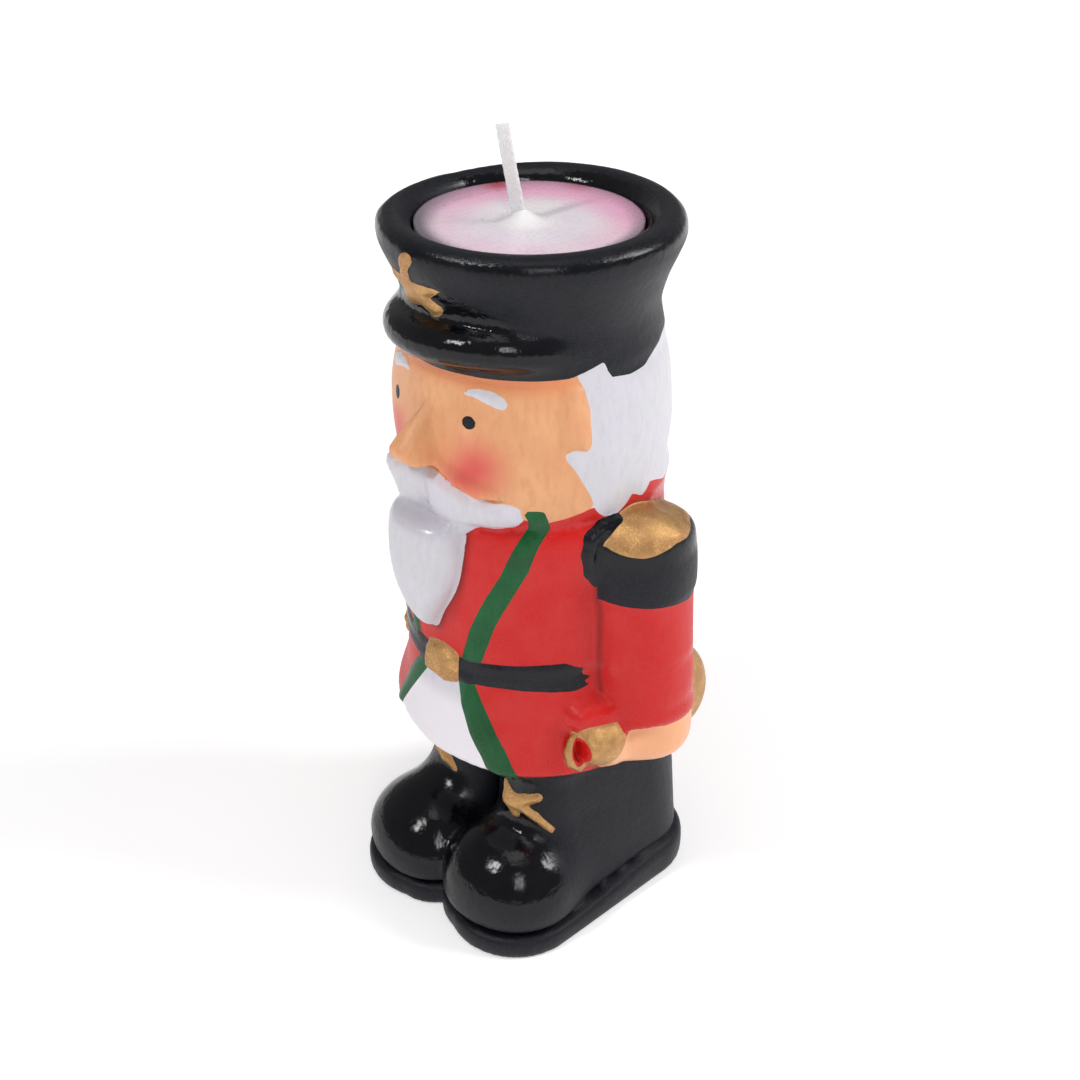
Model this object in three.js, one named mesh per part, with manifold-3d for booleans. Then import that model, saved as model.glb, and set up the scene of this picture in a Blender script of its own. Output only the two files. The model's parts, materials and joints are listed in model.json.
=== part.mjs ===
// Nutcracker candle figure: a painted terracotta casting with a candle poured into the cup of its hat.
// Millimetres, +Z up. The figure faces -Y, its left side is +X, and its soles stand on Z = 0.
// Each moulded and painted zone of the casting is one mesh, with a hairline gap to its neighbours.
import * as THREE from "three";
import { ConvexGeometry } from "three/addons/geometries/ConvexGeometry.js";
import { mergeVertices } from "three/addons/utils/BufferGeometryUtils.js";
import Module from "manifold-3d";

const wasm = await Module();
wasm.setup();

// Driving heights, from the standing surface up
const HEM_Z = 37;
const BELT_Z = 54;
const BELT_LOW_Z = 52.9;
const BELT_TOP_Z = 58.2;
const NECK_Z = 84;
const HAT_Z = 110;
const RIM_Z = 130;
const CUP_FLOOR_Z = 100;
const WAX_Z = 127.9;
const WICK_TOP_Z = 142.5;

// Driving sizes across
const GAP = 0.3;
const PAINT = 0.45;
const BORE_R = 7;
const BORE_Y = 2;
const CUP_WALL_R = 18.6;
const WAX_R = 18.1;
const WAX_FLOOR_R = 16;
const CUP_FLOOR = 3;
const ROUND = 40;

// Outside of the casting, as [radius, height] from the hem to the rim
const SKIRT = [[25, HEM_Z], [24.7, 42], [23.2, 49.5], [22.4, BELT_Z]];
const TORSO = [[22.3, BELT_Z], [22.3, 66], [22.6, 77], [21.8, NECK_Z]];
const HEAD = [[21.6, NECK_Z], [22.6, 89], [23.1, 95], [22.8, 100], [21.2, HAT_Z]];
const HAT = [[20.6, HAT_Z], [20.7, 116], [22.2, 120], [23.9, 124.5], [24.6, 127.7], [23.5, 129.4], [21, RIM_Z]];
const CASTING = [...SKIRT, ...TORSO, ...HEAD, ...HAT];

// Arms hang straight down beside the coat, deeper than they are wide
const ARM = { x: 22.7, y: 3.8, r: 8.4, wide: 0.98, deep: 1.1 };
const ARM_Z = { cuff: 43.5, band: 69, shoulder: 79 };

// A boot's outline is the hull of circles, as [x, y, radius]: two round the toe and one round the heel
const SOLE = { toe: [11.9, -15.8, 12.4], instep: [7.8, -18.8, 8.4], heel: [13.4, 11.5, 10.95] };
const SOLE_Z = { toe: 4.4, heel: 7 };
const SHAFT = [
  { z: 4.7, front: [11.5, -7.5, 11], back: [13.4, 11.5, 10] },
  { z: 12, front: [11.2, -7.3, 10.1], back: [13, 10.8, 10.1] },
  { z: 22, front: [10.7, -6.8, 8.8], back: [12.3, 9.8, 10.6] },
  { z: HEM_Z - GAP, front: [10.5, -6.5, 8.3], back: [12, 8.3, 10.4] },
];
// The round toe cap, as how far each level is drawn in from the sole's edge
const TOE_CAP = [[4.7, 0.7], [9, 0.4], [12.5, 1.1], [15.8, 2.9], [18.2, 5.8], [19.8, 9.4]];

const COLOURS = {
  black: { color: "#24242a", roughness: 0.35, metalness: 0 },
  red: { color: "#c8322d", roughness: 0.45, metalness: 0 },
  green: { color: "#196437", roughness: 0.45, metalness: 0 },
  white: { color: "#dedee2", roughness: 0.45, metalness: 0 },
  skin: { color: "#e5a573", roughness: 0.45, metalness: 0 },
  gold: { color: "#be966a", roughness: 0.4, metalness: 0.8 },
  wax: { color: "#e6d2de", roughness: 0.4, metalness: 0 },
  wick: { color: "#f0f0f0", roughness: 0.8, metalness: 0 },
  steel: { color: "#b8bcc2", roughness: 0.35, metalness: 1 },
};

const figure = new THREE.Group();

// Solids: a closed three.js geometry becomes a manifold for cutting and joining, and comes back as a mesh
function solid(geometry) {
  const bare = geometry.clone();
  bare.deleteAttribute("normal");
  bare.deleteAttribute("uv");
  const merged = mergeVertices(bare, 1e-4);
  const triVerts = new Uint32Array(merged.index.array);
  const vertProperties = merged.attributes.position.array;
  return new wasm.Manifold(new wasm.Mesh({ numProp: 3, vertProperties, triVerts }));
}

function geometryOf(body) {
  const { vertProperties, triVerts } = body.getMesh();
  const geometry = new THREE.BufferGeometry();
  geometry.setAttribute("position", new THREE.BufferAttribute(vertProperties, 3));
  geometry.setIndex(new THREE.BufferAttribute(triVerts, 1));
  geometry.computeVertexNormals();
  return geometry;
}

function mirrored(geometry) {
  const other = geometry.clone().scale(-1, 1, 1);
  const index = other.index.array;
  for (let i = 0; i < index.length; i += 3) [index[i + 1], index[i + 2]] = [index[i + 2], index[i + 1]];
  other.computeVertexNormals();
  return other;
}

function addMesh(name, geometry, colour) {
  const mesh = new THREE.Mesh(geometry, new THREE.MeshStandardMaterial(COLOURS[colour]));
  mesh.name = name;
  figure.add(mesh);
}

function add(name, body, colour) {
  addMesh(name, geometryOf(body), colour);
}

function addPair(name, body, colour) {
  const geometry = geometryOf(body);
  addMesh(`${name}_left`, geometry, colour);
  addMesh(`${name}_right`, mirrored(geometry), colour);
}

// A solid of revolution about the figure's axis, or about an upright axis at x, y
function turned(profile, x = 0, y = 0, segments = ROUND) {
  const points = profile.map(([r, z]) => new THREE.Vector2(r, z));
  return solid(new THREE.LatheGeometry(points, segments).rotateX(Math.PI / 2).translate(x, y, 0));
}

const onAxis = (profile) => [[0, profile[0][1]], ...profile, [0, profile.at(-1)[1]]];
const grown = (profile, by) => profile.map(([r, z]) => [r + by, z]);
const castingGrownBy = (by) => turned(onAxis(grown(CASTING, by)));

// A ring of the casting: its outside from one height to another, around the firing bore
function ring(profile) {
  const low = profile[0][1];
  const high = profile.at(-1)[1];
  return turned([[BORE_R, low], ...profile, [BORE_R, high], [BORE_R, low]]);
}

// The prism of an outline drawn as [x, z] in front view, reaching forward from the arms
function frontPrism(outline) {
  const shape = new THREE.Shape(outline.map(([x, z]) => new THREE.Vector2(x, z)));
  return solid(new THREE.ExtrudeGeometry(shape, { depth: 40, bevelEnabled: false }).rotateX(Math.PI / 2));
}

// The prism of an outline drawn as [y, z] in side view, right through the figure
function sidePrism(outline) {
  const shape = new THREE.Shape(outline.map(([y, z]) => new THREE.Vector2(y, z)));
  const across = new THREE.ExtrudeGeometry(shape, { depth: 80, bevelEnabled: false }).translate(0, 0, -40);
  return solid(across.rotateX(Math.PI / 2).rotateZ(Math.PI / 2));
}

// A painted or low-relief shape lying on the casting, from lift to lift + thickness above its surface
function relief(outline, lift = GAP, thickness = PAINT) {
  const shell = castingGrownBy(lift + thickness).subtract(castingGrownBy(lift));
  return frontPrism(outline).intersect(shell);
}

const flipped = (outline) => outline.map(([x, z]) => [-x, z]).reverse();

function circle(x, z, r, count = 12) {
  return Array.from({ length: count }, (_, i) => {
    const turn = (2 * Math.PI * i) / count;
    return [x + r * Math.cos(turn), z + r * Math.sin(turn)];
  });
}

function hull(points) {
  return solid(new ConvexGeometry(points));
}

// Points of a level circle at height z
function level([x, y, r], z, count = 20) {
  return circle(x, y, r, count).map(([px, py]) => new THREE.Vector3(px, py, z));
}

// Points of an upright circle facing along Y
function upright(x, y, z, r, count = 16) {
  return circle(x, z, r, count).map(([px, pz]) => new THREE.Vector3(px, y, pz));
}

function ellipsoid(x, y, z, rx, ry, rz) {
  return solid(new THREE.SphereGeometry(1, 20, 12).rotateX(Math.PI / 2).scale(rx, ry, rz).translate(x, y, z));
}

// A round-ended stroke between two points
function stroke(from, to, r) {
  const a = new THREE.Vector3(...from);
  const b = new THREE.Vector3(...to);
  const along = b.clone().sub(a);
  const turn = new THREE.Quaternion().setFromUnitVectors(new THREE.Vector3(0, 1, 0), along.clone().normalize());
  const capsule = new THREE.CapsuleGeometry(r, along.length(), 2, 7).applyQuaternion(turn);
  return solid(capsule.translate(...a.add(b).multiplyScalar(0.5).toArray()));
}

const join = (bodies) => bodies.reduce((all, body) => all.add(body));

function candle() {
  const braid = [1.1, 0.45];
  const neck = { r: 1.9, hole: 1.5, z: CUP_FLOOR_Z + 5 };
  const tab = { r: 6, thickness: 0.5 };
  const floorZ = CUP_FLOOR_Z + GAP;
  const route = [
    [0, 0, floorZ + GAP],
    [0, 0, WAX_Z - 12],
    [-0.8, -2, WAX_Z + 1],
    [-3.4, -3, WICK_TOP_Z],
  ].map((p) => new THREE.Vector3(...p));
  const path = new THREE.CatmullRomCurve3(route);
  const braidShape = (by) => {
    const [w, t] = braid.map((half) => half + by);
    return new THREE.Shape([[-t, -w], [t, -w], [t, w], [-t, w]].map((p) => new THREE.Vector2(...p)));
  };
  const along = (by) => solid(new THREE.ExtrudeGeometry(braidShape(by), { extrudePath: path, steps: 10 }));
  const sustainer = turned([
    [neck.hole, floorZ], [tab.r, floorZ], [tab.r, floorZ + tab.thickness],
    [neck.r, floorZ + tab.thickness], [neck.r, neck.z], [neck.hole, neck.z], [neck.hole, floorZ],
  ], 0, 0, 16);
  const recess = turned([
    [0, floorZ - 1], [tab.r + GAP, floorZ - 1], [tab.r + GAP, floorZ + tab.thickness + GAP],
    [neck.r + GAP, floorZ + tab.thickness + GAP], [neck.r + GAP, neck.z + GAP], [0, neck.z + GAP],
  ], 0, 0, 16);
  const poured = turned(onAxis([
    [WAX_FLOOR_R - GAP, floorZ], [WAX_R - GAP, WAX_Z], [9, WAX_Z - 0.4], [4, WAX_Z + 0.3], [2.4, WAX_Z + 1],
  ]));
  add("candle_wax", poured.subtract(recess).subtract(along(GAP)), "wax");
  add("candle_wick", along(0), "wick");
  add("wick_sustainer", sustainer, "steel");
}

function hat() {
  const cupBottomZ = CUP_FLOOR_Z - CUP_FLOOR;
  const shako = turned([
    [0, cupBottomZ], [CUP_WALL_R, cupBottomZ], [CUP_WALL_R, HAT_Z], ...HAT,
    [19.2, 129.3], [WAX_R, WAX_Z], [WAX_FLOOR_R, CUP_FLOOR_Z], [0, CUP_FLOOR_Z],
  ]);
  add("hat_cup", shako, "black");
  // The peak is a rolled ring set forward, so that it runs out into the hat on both sides
  const peak = { ring: 16.1, roll: 3.3, forward: 5.9, z: 113.4 };
  const roll = new THREE.TorusGeometry(peak.ring, peak.roll, 12, ROUND).translate(0, -peak.forward, peak.z);
  add("hat_peak", solid(roll).subtract(castingGrownBy(GAP)), "black");
  const starX = -1.2;
  const half = [[0.9, 127], [1.6, 122.9], [6.4, 123.6], [6.7, 122.4], [3.4, 120.6], [6.9, 119.4], [6.2, 118.2]];
  const low = [[1.2, 119.2], [-1.2, 119.2]];
  const star = [...half, ...low, ...flipped(half)].map(([x, z]) => [x + starX, z]);
  add("hat_star", relief(star), "gold");
}

function head() {
  const low = NECK_Z + GAP;
  const high = HAT_Z - GAP;
  const cupSeatZ = CUP_FLOOR_Z - CUP_FLOOR - GAP;
  const seatR = CUP_WALL_R + GAP;
  const skull = turned([
    [BORE_R, low], [HEAD[0][0], low], ...HEAD.slice(1, -1), [HEAD.at(-1)[0], high],
    [seatR, high], [seatR, cupSeatZ], [BORE_R, cupSeatZ], [BORE_R, low],
  ]);
  // The hairline in side view: temple, ear, the lock in front of the ear and the jaw
  const hairline = [
    [-9.6, 112], [-9, 106], [-8, 102], [-7.6, 98.9], [-10.8, 97.2], [-9.9, 94.5], [-8, 91.5], [-6.6, 88.4],
    [-7.6, 86.3], [-8.2, 82],
  ];
  const behind = hairline.map(([y, z]) => [y + GAP, z]);
  add("face", skull.intersect(sidePrism([...hairline, [-40, 82], [-40, 112]])), "skin");
  add("hair", skull.intersect(sidePrism([[40, 112], [40, 82], ...behind.reverse()])), "white");
  const ear = [[17.6, 98.6], [19.4, 99.4], [19.9, 103], [18.6, 107.6], [17.4, 107.2], [17.2, 102]];
  addPair("ear", relief(ear, GAP, 0.7).intersect(sidePrism([[-14, 98], [-9.4, 98], [-9.6, 110], [-14, 110]])), "skin");
  const noseTip = [[0, -29.5, 96.6], [1.7, -28.4, 94.8], [-1.7, -28.4, 94.8]];
  const noseBase = [[0, -20, 104.2], [4, -20, 94.2], [-4, -20, 94.2], [3.4, -24.4, 94.2], [-3.4, -24.4, 94.2]];
  const nose = hull([...noseTip, ...noseBase].map((p) => new THREE.Vector3(...p)));
  add("nose", nose.subtract(castingGrownBy(GAP)), "skin");
  addPair("eye", relief(circle(8.8, 102.6, 1.1)), "black");
  const brow = [[7, 107.5], [7.4, 106.8], [9.8, 106], [12.2, 105.2], [13.2, 105.6], [12.6, 107], [9.8, 107.9]];
  addPair("eyebrow", relief(brow), "white");
}

function whiskers() {
  const half = [
    [2.5, 93.4], [5.4, 92.5], [9, 91.4], [12, 90.6], [14.6, 89.2], [15.6, 87.2], [13.8, 85.3], [9.8, 83.9],
    [6, 82.2],
  ];
  const outline = [[0, 92.4], ...half, [0, 81.7], ...flipped(half)];
  add("moustache", relief(outline, GAP, 1.9), "white");
  const side = [[2, 63], [4.2, 66], [5.8, 70], [6.9, 74.5], [7.6, 79], [7.8, 81.4]];
  const lens = ellipsoid(-0.6, -19.5, 77, 9.6, 8.9, 18);
  const beard = lens.intersect(frontPrism([[0, 61.8], ...side, ...flipped(side)]));
  add("beard", beard.subtract(castingGrownBy(GAP)), "white");
}

function coat() {
  add("coat_torso", ring([[TORSO[0][0], BELT_Z], ...TORSO.slice(1)]), "red");
  add("coat_skirt", ring([...SKIRT.slice(0, -1), [SKIRT.at(-1)[0], BELT_Z - GAP]]), "red");
  const band = [[-20.3, BELT_LOW_Z], [20.3, BELT_LOW_Z], [20.3, BELT_TOP_Z], [-20.3, BELT_TOP_Z]];
  add("belt", relief(band), "black");
  const buckle = circle(0.8, 0, 4.1, 16).map(([x, z]) => [x, BELT_LOW_Z + 2.8 + 0.88 * z]);
  add("buckle", relief(buckle, 2 * GAP + PAINT, 0.8), "gold");
  const strap = [
    [15.2, 85.4], [13.5, 81], [11.6, 75], [9.6, 69.7], [7.3, 62.5], [6.1, BELT_TOP_Z + GAP],
    [9.8, BELT_TOP_Z + GAP], [11.3, 64.2], [13.5, 69.6], [15.6, 75.5], [17, 80.3], [17.8, 84],
  ];
  const clearOfBeard = relief(strap).subtract(sidePrism([[-40, NECK_Z], [0, NECK_Z], [0, 90], [-40, 90]]));
  addPair("shoulder_strap", clearOfBeard, "green");
  const topZ = BELT_LOW_Z - GAP;
  const inner = [[5.6, topZ], [6, 50], [7.4, 46], [9.5, 42], [11.2, HEM_Z + GAP]];
  const outer = [[15, HEM_Z + GAP], [13.2, 41.2], [11.5, 46.3], [9.2, 51], [8.2, topZ]];
  addPair("skirt_trim", relief([...inner, ...outer]), "green");
  const edge = inner.map(([x, z]) => [x - GAP, z]);
  add("waistcoat_front", relief([...edge, ...flipped(edge)]), "white");
}

function arms() {
  const { x, y, r, wide, deep } = ARM;
  const clear = castingGrownBy(GAP).add(bootBody(GAP));
  const oval = (profile) => turned(onAxis(profile), 0, 0, 32).scale([wide, deep, 1]).translate([x, y, 0]);
  const drum = (lowZ, highZ, by) => oval([[r + by, lowZ], [r + by, highZ]]);
  addPair("sleeve", drum(ARM_Z.cuff, ARM_Z.band - GAP, 0).subtract(clear), "red");
  addPair("arm_band", drum(ARM_Z.band, ARM_Z.shoulder - GAP, 0.3).subtract(clear), "black");
  const shoulder = [[r, 0], [r - 0.6, 2], [r - 3, 3.6], [r - 6, 4.8]];
  const dome = shoulder.map(([across, up]) => [across, ARM_Z.shoulder + up]);
  addPair("epaulette", oval(dome).subtract(clear), "gold");
  // The forearm swings forward under the sleeve, and the fist is at its front. The right fist is held higher
  const handTopZ = ARM_Z.cuff - GAP;
  const wrist = { x: 23.2, y: -4.4, z: 41, r: 4.5 };
  const raise = [-1.4, 0, 6];
  const forearm = hull([
    ...level([x, y, r - 0.2], handTopZ), ...level([x, y, r - 0.3], 38.5),
    ...level([x, y, r - 3], 35.4), ...upright(wrist.x, wrist.y, wrist.z - 0.6, wrist.r - 0.9),
  ]);
  const sleeveEnd = [[-40, handTopZ], [40, handTopZ], [40, 30], [-40, 30]];
  addPair("hand", forearm.intersect(sidePrism(sleeveEnd)).subtract(clear), "skin");
  const fist = hull([
    ...upright(wrist.x, wrist.y - GAP, wrist.z, 5), ...upright(wrist.x - 0.6, -10.6, wrist.z + 0.4, 4.9),
    ...upright(wrist.x - 1, -12.4, wrist.z + 0.4, 3.4),
  ]);
  const sleeve = drum(ARM_Z.cuff - GAP, ARM_Z.band, GAP);
  const fistAt = (move) => geometryOf(fist.translate(move).subtract(clear).subtract(sleeve));
  addMesh("gold_fist_left", fistAt([0, 0, 0]), "gold");
  addMesh("gold_fist_right", mirrored(fistAt(raise)), "gold");
  const pouch = ellipsoid(17.6, 17.2, 38.4, 6.5, 8, 9.2).subtract(clear);
  add("hip_pouch", pouch.subtract(drum(25, ARM_Z.band, 2 * GAP)), "gold");
}

// One boot without its sole, each radius grown by the same amount
function bootBody(by) {
  const shaft = SHAFT.flatMap(({ z, front, back }) =>
    [front, back].flatMap(([x, y, r]) => level([x, y, r + by], z)));
  const cap = TOE_CAP.flatMap(([z, inset]) =>
    [SOLE.toe, SOLE.instep].flatMap(([x, y, r]) => level([x, y, Math.max(r - inset, 0.5) + by], z + by)));
  return hull(shaft).add(hull(cap));
}

function boots() {
  const midPlane = [[GAP / 2, -5], [60, -5], [60, 60], [GAP / 2, 60]];
  const leftHalf = frontPrism(midPlane).add(frontPrism(midPlane).translate([0, 40, 0]));
  const bore = turned(onAxis([[BORE_R, -5], [BORE_R, 60]]), 0, BORE_Y);
  const edge = 0.6;
  const soleHull = (by) => hull(Object.entries(SOLE).flatMap(([part, [x, y, r]]) => {
    const topZ = part === "heel" ? SOLE_Z.heel : SOLE_Z.toe;
    return [...level([x, y, r + by], topZ + by), ...level([x, y, r + by], edge), ...level([x, y, r - edge], 0)];
  }));
  const trimmed = (body) => body.intersect(leftHalf).subtract(bore);
  addPair("sole", trimmed(soleHull(0)), "black");
  addPair("boot", trimmed(bootBody(0).subtract(soleHull(GAP))), "black");
  const knot = [12, -16.1, 26.2];
  const tassel = join([
    stroke(knot, [9.3, -15.9, 28.4], 1.3), stroke(knot, [15.4, -14.8, 28.2], 1.2),
    stroke(knot, [11.8, -16.2, 24], 1.3), stroke(knot, [17.2, -14, 22.6], 1.2),
  ]);
  addPair("boot_tassel", tassel.subtract(bootBody(GAP)), "gold");
}

candle();
hat();
head();
whiskers();
coat();
arms();
boots();

// The origin is the middle of the footprint of the whole figure
const middle = new THREE.Box3().setFromObject(figure).getCenter(new THREE.Vector3());
figure.position.set(-middle.x, -middle.y, 0);

export default figure;
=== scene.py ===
import json
import math

import bpy
import numpy as np
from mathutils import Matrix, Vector


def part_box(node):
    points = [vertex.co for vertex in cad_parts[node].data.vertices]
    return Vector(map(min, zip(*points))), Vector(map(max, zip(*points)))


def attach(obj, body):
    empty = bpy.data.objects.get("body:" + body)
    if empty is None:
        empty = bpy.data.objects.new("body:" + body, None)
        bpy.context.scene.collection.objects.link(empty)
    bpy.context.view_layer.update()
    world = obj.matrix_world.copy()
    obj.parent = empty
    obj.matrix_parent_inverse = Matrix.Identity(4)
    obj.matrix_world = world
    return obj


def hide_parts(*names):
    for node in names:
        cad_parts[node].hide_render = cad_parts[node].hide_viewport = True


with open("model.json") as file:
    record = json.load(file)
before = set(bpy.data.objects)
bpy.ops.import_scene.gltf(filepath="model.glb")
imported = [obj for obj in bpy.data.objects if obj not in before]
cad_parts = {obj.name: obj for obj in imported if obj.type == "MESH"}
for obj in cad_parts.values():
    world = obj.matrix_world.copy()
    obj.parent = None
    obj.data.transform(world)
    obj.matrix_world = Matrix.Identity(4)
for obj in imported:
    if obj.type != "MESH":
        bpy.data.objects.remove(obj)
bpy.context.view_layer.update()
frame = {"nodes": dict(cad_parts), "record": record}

MM = 0.001


def corners(*nodes):
    """Lowest and highest corner of some CAD nodes, in millimetres of the row frame."""
    boxes = [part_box(node) for node in nodes]
    low = np.min([np.array(low) for low, _ in boxes], axis=0)
    high = np.max([np.array(high) for _, high in boxes], axis=0)
    return low / MM, high / MM


# Driving heights and the hat's axis, from the frame
skirt_low, skirt_high = corners("coat_skirt")
AXIS_Y = (skirt_low[1] + skirt_high[1]) / 2
HEM = skirt_low[2]
BELT = corners("coat_torso")[0][2]
NECK = corners("coat_torso")[1][2]
RIM = corners("hat_cup")[1][2]
HAT_HEIGHT = 20
HAT = RIM - HAT_HEIGHT
CUP_FLOOR = corners("candle_wax")[0][2]
WAX_BELOW_RIM = 2.2
WAX = RIM - WAX_BELOW_RIM
WICK_TOP = corners("candle_wick")[1][2]

# Working values of the meshing: the grid's spacing, the distance beyond which none is counted, the
# thickness of a zone's patch, and how near a cut a corner is moved onto it
STEP = 0.7
FAR = 9.0
SKIN_DEPTH = 0.6
SNAP = 0.03

SIDES = ((1, "left"), (-1, "right"))


# ---- outlines and fields

def through(points, count=6):
    """A smooth open curve through the points (Catmull-Rom)."""
    p = np.array(points, float)
    p = np.vstack([2 * p[0] - p[1], p, 2 * p[-1] - p[-2]])
    t = np.linspace(0, 1, count, endpoint=False)[:, None]
    parts = []
    for a, b, c, d in zip(p[:-3], p[1:-2], p[2:-1], p[3:]):
        parts.append(0.5 * (2 * b + (c - a) * t + (2 * a - 5 * b + 4 * c - d) * t**2
                            + (3 * b - a - 3 * c + d) * t**3))
    return np.vstack(parts + [p[-2:-1]])


def eased(points, radius, spacing=0.3):
    """The closed outline with its corners rounded over about the radius."""
    closed = np.vstack([points, points[:1]])
    along = np.concatenate([[0], np.cumsum(np.hypot(*np.diff(closed, axis=0).T))])
    count = max(int(along[-1] / spacing), 12)
    s = np.linspace(0, along[-1], count, endpoint=False)
    dense = np.stack([np.interp(s, along, closed[:, k]) for k in (0, 1)], axis=1)
    steps = np.arange(-int(3 * radius / spacing), int(3 * radius / spacing) + 1)
    weights = np.exp(-0.5 * (steps * spacing / radius) ** 2)
    weights /= weights.sum()
    return sum(w * np.roll(dense, k, axis=0) for w, k in zip(weights, steps))


class Outline:
    """Signed distance to a closed outline in a plane, negative inside, read from a fine table."""

    def __init__(self, points, radius=0.4, step=0.25, margin=5.0):
        p = eased(np.array(points, float), radius)
        self.step = step
        self.low = p.min(0) - margin
        nu, nv = (np.ceil((p.max(0) + margin - self.low) / step)).astype(int) + 1
        u = (self.low[0] + step * np.arange(nu))[:, None]
        v = (self.low[1] + step * np.arange(nv))[None, :]
        nearest = np.full((nu, nv), np.inf)
        inside = np.zeros((nu, nv), bool)
        for a, b in zip(p, np.roll(p, -1, axis=0)):
            e = b - a
            t = np.clip(((u - a[0]) * e[0] + (v - a[1]) * e[1]) / max(e @ e, 1e-9), 0, 1)
            nearest = np.minimum(nearest, (u - a[0] - t * e[0]) ** 2 + (v - a[1] - t * e[1]) ** 2)
            if a[1] != b[1]:
                inside ^= ((a[1] > v) != (b[1] > v)) & (u < e[0] * (v - a[1]) / e[1] + a[0])
        self.table = (np.sqrt(nearest) * np.where(inside, -1, 1)).astype(np.float32)

    def __call__(self, u, v):
        fu = (u - self.low[0]) / self.step
        fv = (v - self.low[1]) / self.step
        nu, nv = self.table.shape
        i = np.clip(fu.astype(np.int32), 0, nu - 2)
        j = np.clip(fv.astype(np.int32), 0, nv - 2)
        a = np.clip(fu - i, 0, 1)
        b = np.clip(fv - j, 0, 1)
        flat = self.table.ravel()
        k = i * nv + j
        return ((flat[k] * (1 - b) + flat[k + 1] * b) * (1 - a)
                + (flat[k + nv] * (1 - b) + flat[k + nv + 1] * b) * a)


def soft_min(a, b, k):
    h = np.maximum(k - np.abs(a - b), 0) / k
    return np.minimum(a, b) - h * h * k / 4


def soft_max(a, b, k):
    return -soft_min(-a, -b, k)


def ease(t):
    t = np.clip(t, 0, 1)
    return t * t * (3 - 2 * t)


def bump(t):
    """1 at t = 0, falling smoothly to 0 at t = 1 on both sides."""
    return ease(1 - np.abs(t))


def stroke(path, radii):
    """A round-sectioned stroke along a path, its radius changing from point to point."""
    path = np.array(path, float)
    radii = np.broadcast_to(radii, len(path))

    def distance(x, y, z):
        best = FAR * 4
        for a, b, ra, rb in zip(path, path[1:], radii, radii[1:]):
            e = b - a
            t = np.clip(((x - a[0]) * e[0] + (y - a[1]) * e[1] + (z - a[2]) * e[2]) / (e @ e), 0, 1)
            gap = np.sqrt((x - a[0] - t * e[0]) ** 2 + (y - a[1] - t * e[1]) ** 2
                          + (z - a[2] - t * e[2]) ** 2) - (ra + (rb - ra) * t)
            best = soft_min(best, gap, 0.4)
        return best

    return distance


def ellipsoid(centre, radii):
    c, r = np.array(centre, float), np.array(radii, float)

    def distance(x, y, z):
        q = [(p - c[k]) / r[k] for k, p in enumerate((x, y, z))]
        k0 = np.sqrt(q[0] ** 2 + q[1] ** 2 + q[2] ** 2)
        k1 = np.sqrt(sum((q[k] / r[k]) ** 2 for k in range(3)))
        return k0 * (k0 - 1) / np.maximum(k1, 1e-6)

    return distance


def wedge(points, radius, blend):
    """The hull of a few points, grown by a radius, with its edges blended."""
    p = np.array(points, float)
    planes = []
    for i in range(len(p)):
        for j in range(i + 1, len(p)):
            for k in range(j + 1, len(p)):
                n = np.cross(p[j] - p[i], p[k] - p[i])
                n /= max(np.linalg.norm(n), 1e-9)
                side = (p - p[i]) @ n
                if side.max() < 1e-6:
                    planes.append((n, n @ p[i]))
                elif side.min() > -1e-6:
                    planes.append((-n, -(n @ p[i])))

    def distance(x, y, z):
        total = 0
        for n, c in planes:
            total = total + np.exp(np.clip((n[0] * x + n[1] * y + n[2] * z - c) / blend, -30, 60))
        return blend * np.log(total) - radius

    return distance


def on_side(shape, side, shift=(0, 0, 0)):
    """The shape on the figure's left (side 1) or right (-1), shifted inwards, back and up."""
    dx, dy, dz = shift
    return lambda x, y, z: shape(side * x + dx, y - dy, z - dz)


def grown(shape, amount):
    return lambda x, y, z: shape(x, y, z) - amount


def stadium(x, y, a, b):
    """In plan: distance to the outline round two circles, each (x, y, radius). These may vary with z."""
    ex, ey = b[0] - a[0], b[1] - a[1]
    t = np.clip(((x - a[0]) * ex + (y - a[1]) * ey) / (ex * ex + ey * ey), 0, 1)
    return np.hypot(x - a[0] - t * ex, y - a[1] - t * ey) - (a[2] + (b[2] - a[2]) * t)


# ---- the casting's shapes

CUP_WALL = 18.1
BORE = {"r": 7, "y": 2, "depth": 30}

# Half profiles of the trunk, from the hem up: (radius, height)
coat_side = [
    (24.6, HEM - 0.2), (25.1, HEM + 0.8), (24.8, HEM + 4), (23.7, HEM + 10), (22.9, HEM + 14.4),
    (22.55, BELT - 0.9), (22.2, BELT + 1), (22.3, BELT + 12), (22.6, BELT + 22), (22.3, NECK - 3.2),
    (21.7, NECK - 1)]
head_side = [
    (21.1, NECK + 0.2), (21.7, NECK + 1.6), (22.5, NECK + 5), (23.1, NECK + 10.5), (22.9, HAT - 10),
    (22.1, HAT - 4), (21.2, HAT - 0.5)]
hat_side = [
    (21.4, HAT + 0.2), (20.8, HAT + 3), (20.6, HAT + 6), (21.9, HAT + 10.3), (23.7, HAT + 14.3),
    (24.6, HAT + 17), (24.3, RIM - 1.2), (23.1, RIM - 0.2), (21.5, RIM)]
casting_profile = Outline(
    np.vstack([[(-4, HEM)], through(coat_side), through(head_side), through(hat_side), [(-4, RIM)]]), 0.3)
# The cup is not quite in the middle of the hat
CUP = {"x": -0.35, "y": -0.35}
cup_profile = Outline([
    (-4, RIM + 8), (20.6, RIM + 8), (19.9, RIM + 0.5), (19.2, RIM - 1.2), (18.5, WAX + 0.1), (17.9, WAX - 6),
    (16.2, CUP_FLOOR), (-4, CUP_FLOOR)], 0.4)

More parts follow.
